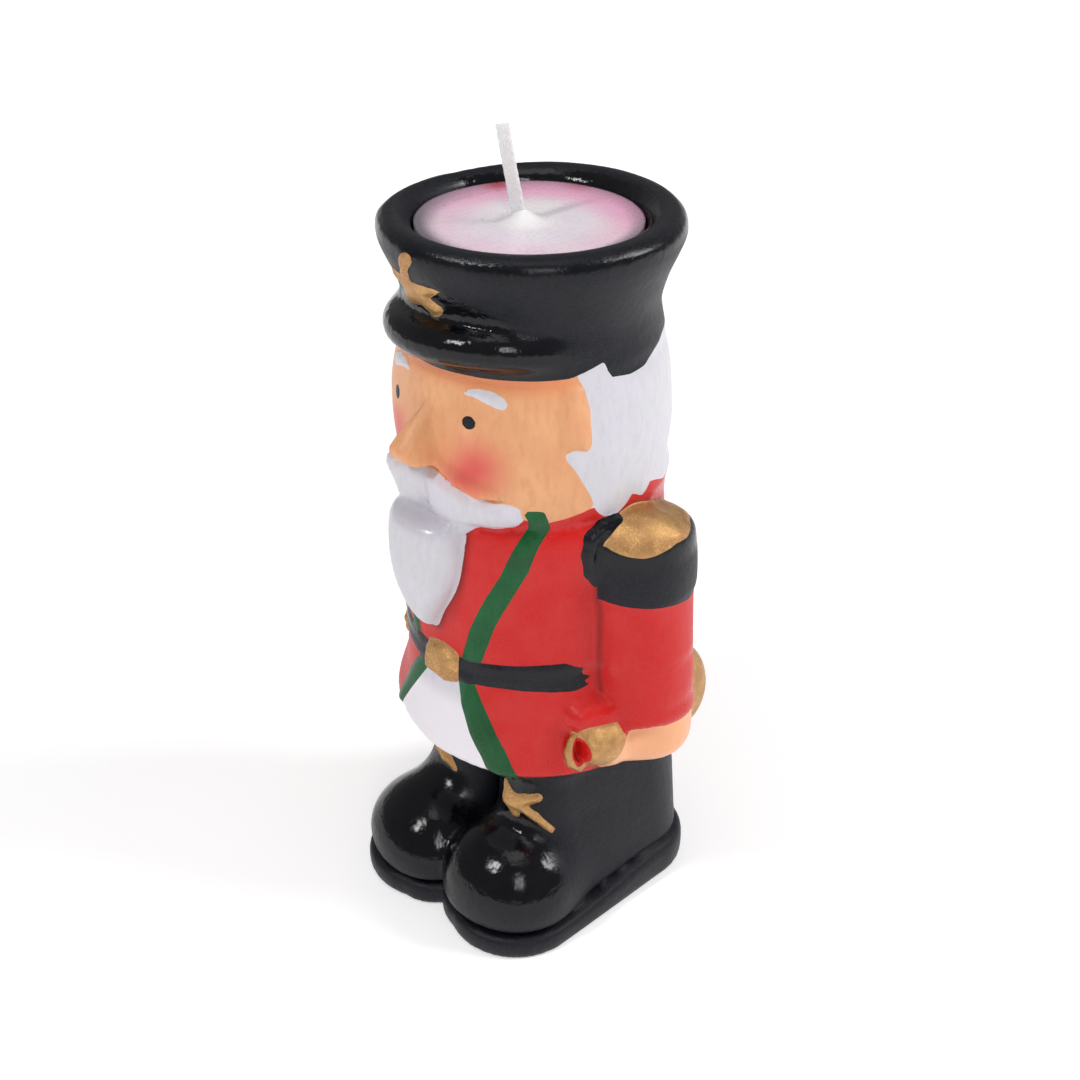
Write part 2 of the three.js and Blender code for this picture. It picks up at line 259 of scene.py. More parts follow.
# How far the hem and the hat's lower edge rise or fall round the figure: [degrees from the front, height]
HEM_LINE = [
    (-180, 37), (-60, 38.2), (-43, 39.4), (-23, 39), (-12, 38.4), (3, 37.7), (21, 37.2), (36, 36.4),
    (50, 36.1), (90, 36.2), (180, 37)]
HAT_LINE = [
    (-180, 111.6), (-130, 111.2), (-100, 108.6), (-80, 108.8), (-77, 111.6), (-62, 110), (0, 109.6),
    (62, 110), (77, 111.7), (80.5, 108.9), (91, 108.3), (101, 108.5), (109, 109.7), (120, 111), (150, 111.6),
    (180, 111.6)]

# How much narrower the hat's flare is round the figure: [degrees from the front, amount]
HAT_PINCH = [
    (-180, 0.6), (-145, 1), (-98, 2.1), (-62, 1), (-44, 0.1), (60, 0), (110, 0.2), (150, 0.5), (180, 0.6)]


def line(points, angle):
    return np.interp(angle, *np.array(points, float).T)


def angle_of(x, y):
    """Degrees round from the front, positive towards the figure's left."""
    return np.degrees(np.arctan2(x, -y))


def wobble(x, y, z):
    """The slight unevenness of a hand-finished casting."""
    return 0.12 * np.sin(0.21 * x + 0.13 * z + 1.3) * np.sin(0.17 * y - 0.11 * z + 0.4) \
        + 0.05 * np.sin(0.55 * x - 0.31 * z) * np.sin(0.47 * y + 0.38 * z + 2.1)


def body(x, y, z):
    angle = angle_of(x, y)
    hem_shift = (line(HEM_LINE, angle) - HEM) * np.clip((HEM + 12 - z) / 9, 0, 1)
    collar = 1.3 * bump((z - NECK - 1) / 4.5) * ease((np.abs(angle) - 92) / 14)
    pinched = line(HAT_PINCH, angle) * ease((z - HAT - 7) / 9)
    flat_hip = 0.8 * bump((angle + 43) / 38) * bump((z - 46) / 9)
    full_brow = 0.45 * bump((angle + 45) / 30) * bump((z - HAT + 8) / 10)
    radius = np.hypot(x, y) + wobble(x, y, z) - collar + pinched + flat_hip - full_brow
    return casting_profile(radius, z - hem_shift)


def cup(x, y, z):
    return cup_profile(np.hypot(x - CUP["x"], y - CUP["y"]), z)


def peak(x, y, z):
    """The rolled peak: a ring set forward, so that it runs out into the hat on both sides."""
    across = np.hypot(x, y + 5.9) - 16.3
    far_side = ease((-15 - angle_of(x, y)) / 40)
    lift = 1.1 * bump((angle_of(x, y) - 25) / 50) - 0.5 * far_side
    return np.hypot(across, 1.06 * (z - HAT - 3.5 - lift)) - 3.2 + 0.35 * far_side


arm_profile = Outline(np.vstack([
    [(-4, 43.8)], through([(7.2, 43.6), (8.5, 43.5), (8.75, 44.4), (8.6, 45.8)]),
    through([(8.35, 47.0), (8.5, 48.6), (8.35, 56), (8.25, 66), (8.35, 69)]),
    through([(8.75, 69.7), (8.8, 74), (8.55, 78.2), (8.2, 80.3), (6.9, 82.6), (4.6, 84.1), (2, 84.7)]),
    [(-4, 84.8)]]), 0.3)
hand_profile = Outline([
    (-4, 35.2), (5, 35.3), (7.4, 36.4), (8.3, 38.6), (8.3, 42), (7.8, 46), (-4, 46)], 0.7)
# How far the sleeve's hem rises round the arm: [degrees from the arm's front, rise]
SLEEVE_HEM = [(-180, 0), (-20, 0.4), (5, -0.6), (20, 0.0), (40, 1.4), (66, 1.5), (110, 1.2), (180, 0)]


def arm_turn(x, y):
    """Degrees round the arm from its front, positive outwards."""
    return angle_of(x - 22.6, y - 4)


def arm_radius(x, y, z):
    """Distance from the arm's leaning axis. The arm is deeper than it is wide."""
    drop = (75 - z) / 30
    return np.hypot((x - 22.5 - 0.65 * drop) / 0.98, (y - 3.6 - 0.8 * drop) / 1.11)


def arm(x, y, z):
    rise = line(SLEEVE_HEM, arm_turn(x, y)) * np.clip((54 - z) / 8, 0, 1)
    rounded = 1.7 * ease((y - 1) / 8) * ease((z - 79) / 4)
    return arm_profile(arm_radius(x, y, z), z - rise + rounded)


# The thick black paint over the valley between the shoulder and the chest
shoulder_wrap = stroke([
    (21, -6.4, 73.2), (20.8, -7.2, 75.8), (20.8, -7.4, 79), (20.9, -6.7, 81.4), (21.6, -4.6, 83),
    (22.3, -2.6, 83.6)], (0.6, 1.1, 1.3, 1.4, 1.2, 0.8))


wrist = stroke([(22.6, 3, 40.2), (23.3, -4.5, 40.6)], (5, 4.4))


def hand(x, y, z):
    palm = hand_profile(np.hypot(x - 23, y - 5.3), z)
    return soft_min(palm, wrist(x, y, z), 2.5)


# How far each fist is shifted from the left one's place: (inwards, back, up)
FIST_SHIFT = {1: (0, 0, 0), -1: (1.4, 0.9, 6)}


fist_core = stroke([(22.9, -6.6, 42.4), (22.5, -9.4, 42.7)], (4.9, 4.4))


def fist(x, y, z):
    """The fist's core, cut flat in front and on top."""
    return soft_max(soft_max(fist_core(x, y, z), -10.7 - y, 1.0), z - 46.9, 1.2)


cuff_lump = stroke([(22.6, -5.5, 47.5), (21.6, -9.6, 47.8)], (3.2, 2.6))
curl = stroke([
    (22.6, -11, 44.6), (22.3, -12.2, 44.4), (22.3, -12.9, 42.2), (22.6, -12.4, 39.8), (23.1, -10.9, 38.2)],
    (0.5, 0.7, 0.9, 1, 0.9))
fist_hollow = ellipsoid((23.3, -11.5, 41.9), (3.2, 1.3, 3.0))


def gold_fist(x, y, z):
    return np.minimum(fist(x, y, z), curl(x, y, z))


pouch = ellipsoid((17.6, 17.2, 38.2), (6.5, 8, 9.4))

NOSE = wedge([
    (0.2, -21.6, 104), (2, -27.4, 95.2), (-2.8, -27.5, 94.9), (1.2, -28.3, 96.8), (-1.9, -28.6, 97),
    (3.5, -22, 94.8), (-3.9, -22, 94.8)], 0.75, 0.28)
cheek_ridge = stroke([
    (3.6, -23.3, 94.2), (6.8, -22.6, 92.4), (10, -21.3, 91.1), (12.6, -19.8, 90.4)], (0.75, 0.95, 0.85, 0.5))

beard_left = [(0.3, 62), (1, 63.6), (2.2, 66.2), (3.9, 69.2), (5.2, 72), (6.1, 75.5), (6.6, 79.5), (6.7, 84)]
beard_right = [(-9.4, 84), (-9, 79.5), (-8.6, 74.5), (-7.2, 69.5), (-5, 65.4), (-2.6, 62.4), (-0.8, 61.3)]
beard_front = Outline(np.vstack([through(beard_left), through(beard_right)]), 0.5)
beard_lens = ellipsoid((-0.6, -19.2, 77), (10.2, 9.1, 18))


def beard(x, y, z):
    return soft_max(beard_lens(x, y, z), beard_front(x, z) * 0.9, 2.2)


moustache_half = [
    (0, 92.6), (2.7, 93.1), (5.8, 91.6), (8.7, 90.7), (11.5, 89.5), (13.4, 89.5), (14.6, 89), (15.1, 88),
    (15.2, 87), (14.8, 85.8), (13.4, 84.5), (11, 84), (8.6, 83.8), (7.2, 82.6), (5.4, 81.2), (2.6, 80.9),
    (0, 82.4)]
moustache_front = Outline(np.vstack([
    through(moustache_half), through([(-x, z) for x, z in moustache_half[-2:0:-1]])]), 0.3)

# The boot in plan, as circles: (x, y, radius). The shaft's two circles change with the height, SHAFT_Z
TOE, INSTEP, HEEL = (11.9, -15.8, 12.5), (7.8, -18.9, 8.5), (13.4, 11.5, 10.95)
SHAFT_Z = (4.7, 12, 22, 37)
SHAFT_FRONT = ((11.5, -7.5, 11), (11.2, -7.3, 10.1), (10.7, -6.8, 8.8), (10.5, -6.5, 8.3))
SHAFT_BACK = ((13.4, 11.5, 10), (13, 10.8, 10.1), (12.3, 9.8, 10.6), (12, 8.3, 10.4))
SOLE_TOP, BOOT_TOP = 4.4, 40
toe_ball = ellipsoid((11.85, -15.5, 8.6), (12.4, 12.4, 11.4))
toe_inner = ellipsoid((8.1, -18.2, 8.2), (8.5, 8.6, 9.2))
sole_profile = Outline([
    (-16, 0), (-0.4, 0), (0.1, 0.4), (0.25, 1.5), (0.2, 3.2), (-0.2, 4), (-1.3, SOLE_TOP),
    (-16, SOLE_TOP)], 0.2)


def boot(x, y, z):
    levels = [[np.interp(z, SHAFT_Z, [row[k] for row in rows]) for k in range(3)]
              for rows in (SHAFT_FRONT, SHAFT_BACK)]
    fold = 0.55 * bump((z - 33) / 2.6) * ease((-y - 2) / 8)
    levels[0][2] = levels[0][2] + fold
    above_sole = SOLE_TOP + 0.5 - z + 2.4 * ease((y + 12) / 24)
    shaft = soft_max(stadium(x, y, *levels), z - BOOT_TOP, 0.8)
    cap = soft_min(toe_ball(x, y, z), toe_inner(x, y, z), 4.0)
    return soft_max(soft_min(shaft, cap, 3.0), above_sole, 1.4)


def sole(x, y, z):
    outline = np.minimum(np.minimum(stadium(x, y, TOE, INSTEP), stadium(x, y, TOE, HEEL)),
                         stadium(x, y, INSTEP, HEEL))
    top = SOLE_TOP + 2.6 * ease((y + 12) / 24)
    return sole_profile(outline, z * SOLE_TOP / top)


def both(shape):
    """A boot's shape and its mirror image, which is slimmer and has a lower toe, set forward."""
    def joined(x, y, z):
        toe = ease((-y - 2) / 10) * ease((25 - z) / 10)
        shin = ease((4 - y) / 8) * ease((z - 14) / 9)
        other = shape(-x + 2.0 * toe + 1.6 * shin, y + 1.3 * toe - 1.2 * shin,
                      z + 1.5 * toe * ease((z - 7) / 8))
        return soft_min(shape(x, y, z), other, 0.8)
    return joined


def tassel(x, y, z):
    leaf = stroke([(9.0, -15.0, 28.6), (10.4, -15.7, 26.4), (11.8, -15.6, 23.5)], (0.7, 1.4, 0.8))
    lobe = stroke([(11.6, -15.4, 26.3), (13.6, -14.9, 27.4), (15.6, -13.8, 28.4)], (1.3, 0.95, 0.8))
    tail = stroke([(12.2, -15.4, 26.0), (15.2, -14.3, 24.2), (18.0, -12.3, 21.3)], (1.0, 0.85, 0.4))
    return soft_min(soft_min(leaf(x, y, z), lobe(x, y, z), 0.8), tail(x, y, z), 0.8)


# All that shows of the tassel on the other boot is one leaf
far_tassel = stroke([
    (-12, -13.3, 26.4), (-10.2, -14.1, 25.4), (-8.4, -14.5, 23.9), (-6.2, -14, 21.8)], (1, 1.3, 1.1, 0.5))

# Raised paint and low relief on the front, as outlines in front view: (x, z)
star = Outline([
    (-2.7, 127.2), (-1.9, 128), (-1, 128.3), (0.2, 128.1), (0.7, 127.5), (0.1, 126.5), (-0.9, 125.8),
    (-2, 123), (1.1, 123.4), (4.6, 123.3), (2.8, 122), (1.3, 121.2), (3.8, 120), (2.8, 118.5), (1.5, 117.9),
    (-1.4, 119), (-4.4, 118.2), (-6.6, 117.8), (-7.2, 118.8), (-5.4, 120.6), (-8.6, 122.4), (-8.4, 123.6),
    (-4.4, 123.5), (-3.5, 124.6)], 0.25)


def oval(x, z, width, height):
    turn = np.arange(12) * math.pi / 6
    return Outline([(x + width * math.cos(t), z + height * math.sin(t)) for t in turn], 0.2)


eye_near = oval(8.05, 102.5, 1.15, 1.15)
eye_far = oval(-9.4, 101.6, 1.1, 1.2)
brow_points = [
    (6.5, 106.7), (7, 107.5), (8.8, 108.1), (11, 108), (12.8, 107.1), (13.4, 106), (12.9, 105.2),
    (11.1, 105.8), (8.8, 106.7)]
brow_near = Outline(brow_points, 0.3)
brow_far = Outline([(-x + 1.2, z) for x, z in brow_points], 0.3)
strap_points = [
    (15.4, 88), (15.4, 86.2), (13.9, 80.7), (12.4, 75.9), (9.6, 70), (7.1, 63.8), (5.2, 57), (8.8, 57),
    (9.3, 58.8), (11.4, 65.9), (13.7, 71.3), (15.9, 76.9), (16.9, 82), (17.5, 86), (17.5, 88)]
strap_near = Outline(strap_points, 0.25)
strap_far = Outline([(-x, z) for x, z in strap_points], 0.25)
# The coat's opening below the belt, on the near and the far side, from the top down
opening_near = [(5, 52.5), (6.1, 48.5), (8.2, 44), (11, 39.6)]
opening_far = [(-2.7, 51.6), (-4.5, 48.9), (-7.5, 44.6), (-9.8, 41)]
trim_near = Outline([(5, 55)] + opening_near + [
    (13.2, 34), (17.4, 34), (14.4, 41.2), (11.4, 46.7), (9.1, 51), (8, 52.9), (7.8, 55)], 0.25)
trim_far = Outline([(-1.2, 55)] + opening_far + [
    (-13, 35), (-17.5, 35), (-12.9, 40.5), (-10.8, 44.5), (-8.9, 48.2), (-6.8, 51.2), (-4.6, 53.6),
    (-3.8, 55)], 0.25)
waistcoat = Outline([(-3, 55), (-1.2, 54.2), (5, 54.2)] + opening_near + [
    (13.2, 33), (-16, 33), (-13, 35.4)] + opening_far[::-1] + [(-1.2, 55)], 0.2)
belt_band = Outline([
    (-20.6, 52.8), (-16, 53.1), (-8, 53), (0, 52.7), (8, 53), (13, 53.2), (17, 53), (20.7, 52.5),
    (21.5, 53.2), (20.9, 53.8), (21.3, 54.9), (20.4, 55.4), (20.9, 56.4), (19.4, 58.3), (16, 58.2),
    (12, 57.8), (8.4, 57.5), (0, 57.2), (-8.4, 57.5), (-18.6, 58.3), (-20.6, 56)], 0.2)
buckle_plate = Outline([
    (-2.6, 52.2), (-3.2, 55.4), (-2.3, 58.3), (1.6, 59.1), (4.2, 58.3), (5.1, 57.2), (5.1, 52.3),
    (1.9, 51.4)], 0.5)
# The ear's flange, in side view: (y, z)
ear_side = Outline([
    (-10.9, 109.2), (-8.5, 108.8), (-7.9, 104.9), (-8, 100), (-8.2, 98.1), (-10.2, 98.7), (-11.4, 98.6),
    (-12.3, 101), (-12.3, 105)], 0.5)


def in_front(outline):
    """How far a point is inside the outline in front view. Only the figure's front half counts."""
    return lambda x, y, z: np.where(y < 0, -outline(x, z), -FAR)


def raised(outline, height, width, round_top=False):
    """How far low relief stands proud: up from the outline over the width, flat or pillowed inside."""

    def lift(x, y, z):
        t = np.clip(-outline(x, z) / width, 0, 1)
        shape = np.sqrt(1 - (1 - t) ** 2) if round_top else ease(t)
        return height * shape * (y < 0)

    return lift


def moustache_lift(x, y, z):
    lobes = raised(moustache_front, 2.1, 3.6, True)(x, y, z) * (1 + 0.4 * ease(-x / 7))
    parting = 1 - 0.45 * np.exp(-(x / 1.1) ** 2) * ease((z - 83) / 4)
    sweep = 1 + 0.10 * np.sin(1.1 * z + 0.35 * np.abs(x))
    return lobes * parting * sweep


def ear_lift(x, y, z):
    return 0.85 * ease(-ear_side(y, z) / 1.0) * (np.abs(x) > 10)


LOW_RELIEF = [
    (raised(star, 0.55, 0.8), (-10, -26, 117), (6, -18, 128)),
    (raised(eye_near, 0.15, 0.5), (6, -24, 100), (10, -18, 105)),
    (raised(eye_far, 0.15, 0.5), (-12, -24, 99), (-7, -18, 104)),
    (raised(brow_near, 0.5, 0.9, True), (5, -24, 104), (15, -15, 109.5)),
    (raised(brow_far, 0.5, 0.9, True), (-14, -24, 104), (-4, -15, 109.5)),
    (raised(strap_near, 0.35, 0.8), (4, -24, 56), (19, -10, 87)),
    (raised(strap_far, 0.35, 0.8), (-19, -24, 56), (-4, -10, 87)),
    (raised(trim_near, 0.4, 0.9), (4, -26, 34), (17, -16, 56)),
    (raised(trim_far, 0.4, 0.9), (-21, -26, 34), (1, -14, 56)),
    (raised(belt_band, 0.5, 0.8), (-22, -24, 52), (22, -8, 61)),
    (raised(buckle_plate, 1.3, 1.4), (-6, -26, 51), (7, -20, 62)),
    (moustache_lift, (-18, -27, 79), (18, -14, 95)),
    (ear_lift, (-24, -14, 95), (24, -5, 111)),
]


class Field:
    """Signed distances on a grid of points, into which shapes are blended one by one."""

    def __init__(self, low, high, step):
        self.low, self.step = np.array(low, float), step
        self.count = np.ceil((np.array(high) - self.low) / step).astype(int) + 1
        self.value = np.full(self.count, FAR, np.float32)

    def block(self, low, high):
        first = np.clip(np.floor((np.array(low) - self.low) / self.step).astype(int), 0, self.count - 1)
        last = np.clip(np.ceil((np.array(high) - self.low) / self.step).astype(int) + 1, 1, self.count)
        at = tuple(slice(a, b) for a, b in zip(first, last))
        x, y, z = [(self.low[k] + self.step * np.arange(first[k], last[k])).astype(np.float32)
                   for k in range(3)]
        return at, x[:, None, None], y[None, :, None], z[None, None, :]

    def join(self, shape, low, high, blend):
        at, x, y, z = self.block(low, high)
        self.value[at] = soft_min(self.value[at], np.minimum(shape(x, y, z), FAR), blend)

    def cut(self, shape, low, high, blend):
        at, x, y, z = self.block(low, high)
        self.value[at] = soft_max(self.value[at], -np.minimum(shape(x, y, z), FAR), blend)

    def lift(self, height, low, high):
        at, x, y, z = self.block(low, high)
        self.value[at] -= height(x, y, z)

    def surface(self):
        """Points and triangles of the zero level, by naive surface nets."""
        f = self.value
        n = np.array(f.shape) - 1
        corner = [(i, j, k) for i in (0, 1) for j in (0, 1) for k in (0, 1)]
        negative = f < 0
        count = sum(negative[i:n[0] + i, j:n[1] + j, k:n[2] + k].astype(np.int8) for i, j, k in corner)
        cell = np.argwhere((count > 0) & (count < 8))
        number = np.full(n, -1, np.int64)
        number[tuple(cell.T)] = np.arange(len(cell))
        value = {c: f[tuple((cell + c).T)] for c in corner}
        total = np.zeros((len(cell), 3))
        hits = np.zeros(len(cell))
        for a in corner:
            for axis in range(3):
                if a[axis]:
                    continue
                b = tuple(v + (axis == k) for k, v in enumerate(a))
                va, vb = value[a], value[b]
                crossing = (va < 0) != (vb < 0)
                t = np.where(crossing, va / np.where(crossing, va - vb, 1), 0)
                spot = np.tile(np.array(a, float), (len(cell), 1))
                spot[:, axis] += t
                total += spot * crossing[:, None]
                hits += crossing
        points = self.low + self.step * (cell + total / hits[:, None])
        quads = []
        for axis in range(3):
            u, v = (axis + 1) % 3, (axis + 2) % 3
            before = [slice(None)] * 3
            after = [slice(None)] * 3
            before[axis], after[axis] = slice(None, -1), slice(1, None)
            edge = np.argwhere(negative[tuple(before)] != negative[tuple(after)])
            edge = edge[(edge[:, u] > 0) & (edge[:, v] > 0) & (edge[:, u] < n[u]) & (edge[:, v] < n[v])]
            around = []
            for du, dv in ((-1, -1), (0, -1), (0, 0), (-1, 0)):
                at = edge.copy()
                at[:, u] += du
                at[:, v] += dv
                around.append(number[tuple(at.T)])
            quad = np.stack(around, axis=1)
            outward = negative[tuple(edge.T)]
            quads.append(np.where(outward[:, None], quad, quad[:, ::-1]))
        quad = np.vstack(quads)
        return points, np.vstack([quad[:, [0, 1, 2]], quad[:, [0, 2, 3]]])


def casting_field():
    """All the shapes blended into one. Each has the box that it is worked out in, and its blend's reach."""
    field = Field((-34, -33, -1.2), (34, 28, RIM + 1.5), STEP)
    field.join(body, (-40, -40, -5), (40, 40, 150), 0.01)
    for lift, low, high in LOW_RELIEF:
        field.lift(lift, low, high)
    field.join(peak, (-21, -28, HAT - 3), (21, 14, HAT + 9), 2.2)
    field.cut(cup, (-22, -22, CUP_FLOOR - 2), (22, 22, RIM + 3), 2.6)
    field.cut(stroke([(24.2, -5.5, 127.4), (24.0, -5.6, 126.2)], 0.5), (20, -9, 123), (28, -2, 130), 0.2)
    field.join(NOSE, (-7, -33, 92), (7, -18, 108), 0.7)
    for side, _ in SIDES:
        field.join(on_side(cheek_ridge, side), (-15, -27, 88), (15, -16, 97), 0.9)
    field.join(beard, (-12, -31, 58), (12, -10, 84), 0.9)
    for side, _ in SIDES:
        low, high = sorted([10 * side, 34 * side])
        for shape, z0, z1, blend in ((hand, 33, 48, 1.0), (arm, 41, 88, 1.3)):
            field.join(on_side(shape, side), (low, -13, z0), (high, 17, z1), blend)
        field.join(on_side(shoulder_wrap, side), (low, -12, 65), (high, 4, 88), 0.8)
        for shape, blend in ((cuff_lump, 1.6), (fist, 0.8), (curl, 0.4)):
            field.join(on_side(shape, side, FIST_SHIFT[side]), (low, -18, 33), (high, 4, 57), blend)
    field.join(pouch, (9, 7, 29), (27, 28, 50), 0.8)
    for shape in (sole, boot):
        field.join(both(shape), (-28, -33, -2), (28, 28, 43), 0.5)
    field.join(tassel, (5, -22, 18), (24, -9, 36), 0.35)
    field.join(far_tassel, (-17, -20, 17), (-2, -9, 31), 0.35)
    field.cut(stroke([(0, BORE["y"], -5), (0, BORE["y"], BORE["depth"])], BORE["r"]),
              (-9, -7, -2), (9, 11, BORE["depth"] + 9), 0.8)
    return field


# ---- parting the surface into zones

class Shell:
    """The casting's surface, whose triangles carry the name of the zone that they belong to."""

    def __init__(self, points, faces, zone):
        self.points, self.faces = points, faces
        self.zones = [zone]
        self.zone = np.zeros(len(faces), int)

    def split(self, s):
        """Cuts every triangle that the zero line of s crosses, and returns s at the new set of points."""
        s = np.where(np.abs(s) < SNAP, 0, s)
        corner = s[self.faces]
        crossed = (corner.max(1) > 0) & (corner.min(1) < 0)
        f, owner = self.faces[crossed], self.zone[crossed]
        if not len(f):
            return s
        sign = np.sign(s[f]).astype(int)
        has_zero = (sign == 0).any(1)
        # The lone corner comes first: the zero one, or the one whose sign the other two don't have
        lone = np.where(has_zero, np.argmax(sign == 0, axis=1),
                        np.argmax(sign == -np.sign(sign.sum(1))[:, None], axis=1))
        f = f[np.arange(len(f))[:, None], (lone[:, None] + np.arange(3)) % 3]
        pairs = np.vstack([f[has_zero][:, [1, 2]], f[~has_zero][:, [0, 1]], f[~has_zero][:, [0, 2]]])
        key, index = np.unique(np.sort(pairs, axis=1), axis=0, return_inverse=True)
        index = index.ravel() + len(self.points)
        a, b = key.T
        t = (s[a] / (s[a] - s[b]))[:, None]
        self.points = np.vstack([self.points, self.points[a] * (1 - t) + self.points[b] * t])
        s = np.concatenate([s, np.zeros(len(key))])
        nz, nl = has_zero.sum(), (~has_zero).sum()
        m, p, q = index[:nz], index[nz:nz + nl], index[nz + nl:]
        z, l = f[has_zero], f[~has_zero]
        new = [np.stack(c, axis=1) for c in (
            (z[:, 0], z[:, 1], m), (z[:, 0], m, z[:, 2]),
            (l[:, 0], p, q), (p, l[:, 1], l[:, 2]), (p, l[:, 2], q))]
        owners = [owner[has_zero]] * 2 + [owner[~has_zero]] * 3
        self.faces = np.vstack([self.faces[~crossed]] + new)
        self.zone = np.concatenate([self.zone[~crossed]] + owners)
        return s

    def paint(self, name, inside, over=None):
        """Gives the zone to the triangles that are in one of over and where inside(x, y, z) is above 0."""
        s = self.split(inside(*self.points.T))
        if name not in self.zones:
            self.zones.append(name)
        allowed = np.ones(len(self.faces), bool)
        if over is not None:
            allowed = np.isin(self.zone, [self.zones.index(n) for n in over if n in self.zones])
        self.zone[allowed & (s[self.faces].mean(1) > 0)] = self.zones.index(name)

    def normals(self):
        a, b, c = (self.points[self.faces[:, k]] for k in range(3))
        flat = np.cross(b - a, c - a)
        total = np.zeros_like(self.points)
        for k in range(3):
            np.add.at(total, self.faces[:, k], flat)
        return total / np.maximum(np.linalg.norm(total, axis=1), 1e-12)[:, None]


def rivals(shapes):
    """For each named shape, how much nearer it is than all the others: positive where it owns the surface."""

    def owned(name):
        def nearer(x, y, z):
            others = [f(x, y, z) for n, f in shapes.items() if n != name]
            return np.minimum.reduce(others) - shapes[name](x, y, z)
        return nearer

    return {name: owned(name) for name in shapes}


# The borders of the zones: [degrees round from the front, height], and the hairline in side view: (y, z)
JAW_LINE = [
    (-180, 85.4), (-160, 86.6), (-140, 85), (-120, 87), (-104, 88.4), (-90, 86), (-80, 85), (-73, 87.4),
    (-60, 86), (-50, 85.2), (-40, 86.6), (40, 86.6), (50, 85.2), (60, 86), (68, 86.9), (72, 87.5), (75, 85.8),
    (78.5, 84.7), (84.5, 84.6), (90, 85.4), (93, 87.2), (99, 85.8), (103.5, 87.8), (108, 87.3), (116, 86),
    (124, 85.6), (136, 85), (146, 86.4), (158, 85), (168, 86.4), (180, 85.4)]
BAND_LOW_LINE = [
    (-180, 68), (-40, 69.6), (-17, 70.1), (15, 70.3), (37, 70.1), (71, 69.4), (110, 68.4), (180, 68)]
BAND_TOP_LINE = [
    (-180, 80.4), (-120, 82.6), (-60, 83), (-30, 82.6), (-12, 80.9), (5, 80.2), (26, 79.6), (42, 79.4),
    (52, 79.6), (64, 80), (82, 80.6), (105, 80.4), (140, 81), (180, 80.4)]
hairline = Outline([
    (-9.3, 113), (-9.1, 110.2), (-8.3, 108.4), (-7.9, 104.9), (-7.9, 102.3), (-8, 98.9), (-8.8, 98),
    (-10.4, 98.7), (-11.9, 98.1), (-11.7, 97), (-10.6, 95.3), (-9.2, 92.5), (-7.8, 90), (-7, 88), (-7.9, 86),
    (-8, 80), (40, 80), (40, 113)], 0.12)


def paint_shapes(shell):
    """The zones that are shapes of their own."""
    shapes = {"body": body, "hat_peak": grown(peak, -0.2), "nose": NOSE, "beard": beard, "boots": both(boot),
              "soles": both(sole), "hip_pouch": pouch, "boot_tassel_left": tassel,
              "boot_tassel_right": far_tassel}
    for side, word in SIDES:
        shift = FIST_SHIFT[side]
        shapes["sleeve_" + word] = on_side(arm, side)
        shapes["wrap_" + word] = on_side(grown(shoulder_wrap, 0.2), side)
        shapes["hand_" + word] = on_side(hand, side)
        shapes["gold_fist_" + word] = on_side(gold_fist, side, shift)
        shapes["cuff_" + word] = on_side(grown(cuff_lump, -0.2), side, shift)
    for name, owned in rivals(shapes).items():
        if name != "body":
            shell.paint(name, owned)


def hat_zone(x, y, z):
    above = z - line(HAT_LINE, angle_of(x, y))
    in_cup = np.minimum(CUP_WALL + 2 - np.hypot(x, y), z - CUP_FLOOR + 2)
    return np.maximum(above, in_cup)


def paint_trunk(shell):
    """The zones of the trunk, the head and the hat, from the bottom up."""
    shell.paint("hat_cup", hat_zone, ["body"])
    shell.paint("coat_skirt", lambda x, y, z: BELT - z, ["body"])
    shell.paint("coat_torso", lambda x, y, z: np.where(z > BELT, beard_front(x, z) - 0.3, -FAR), ["beard"])
    shell.paint("face", lambda x, y, z: z - line(JAW_LINE, angle_of(x, y)), ["body"])
    shell.paint("coat_torso", lambda x, y, z: z - BELT, ["body"])
    shell.paint("hair", lambda x, y, z: -hairline(y, z), ["face"])
    for side, word in SIDES:
        shell.paint("ear_" + word, lambda x, y, z: np.where(side * x > 5, -ear_side(y, z), -FAR), ["face"])


def paint_relief(shell):
    """The zones that are outlines in front view, each over the ones painted before it."""
    coat = ["coat_torso", "coat_skirt"]
    straps = ["shoulder_strap_left", "shoulder_strap_right"]
    trims = ["skirt_trim_left", "skirt_trim_right", "waistcoat_front"]
    for name, outline, over in (
            ("waistcoat_front", waistcoat, coat),
            ("skirt_trim_left", trim_near, coat + ["waistcoat_front"]),
            ("skirt_trim_right", trim_far, coat + ["waistcoat_front"]),
            ("shoulder_strap_left", strap_near, coat + ["face"]),
            ("shoulder_strap_right", strap_far, coat + ["face"]),
            ("belt", belt_band, coat + straps + trims),
            ("buckle", buckle_plate, coat + ["belt"] + straps + trims),
            ("moustache", moustache_front, ["face", "beard", "coat_torso", "nose"] + straps),
            ("eye_left", eye_near, ["face"]), ("eye_right", eye_far, ["face"]),
            ("eyebrow_left", brow_near, ["face"]), ("eyebrow_right", brow_far, ["face"]),
            ("hat_star", star, ["hat_cup", "hat_peak"])):
        shell.paint(name, in_front(outline), over)


def paint_limbs(shell):
    """The bands and domes of the arms, the red inside of the fists, and the two boots."""
    for side, word in SIDES:
        band = "arm_band_" + word
        for name, border, over in ((band, BAND_LOW_LINE, "sleeve_" + word),
                                   ("epaulette_" + word, BAND_TOP_LINE, band)):
            shell.paint(name, lambda x, y, z: z - line(border, arm_turn(side * x, y)), [over])
        hollow = on_side(fist_hollow, side, FIST_SHIFT[side])
        shell.paint("coat_skirt", lambda x, y, z: -hollow(x, y, z), ["gold_fist_" + word])
    shell.paint("boot_left", lambda x, y, z: x, ["boots"])
    shell.paint("sole_left", lambda x, y, z: x, ["soles"])


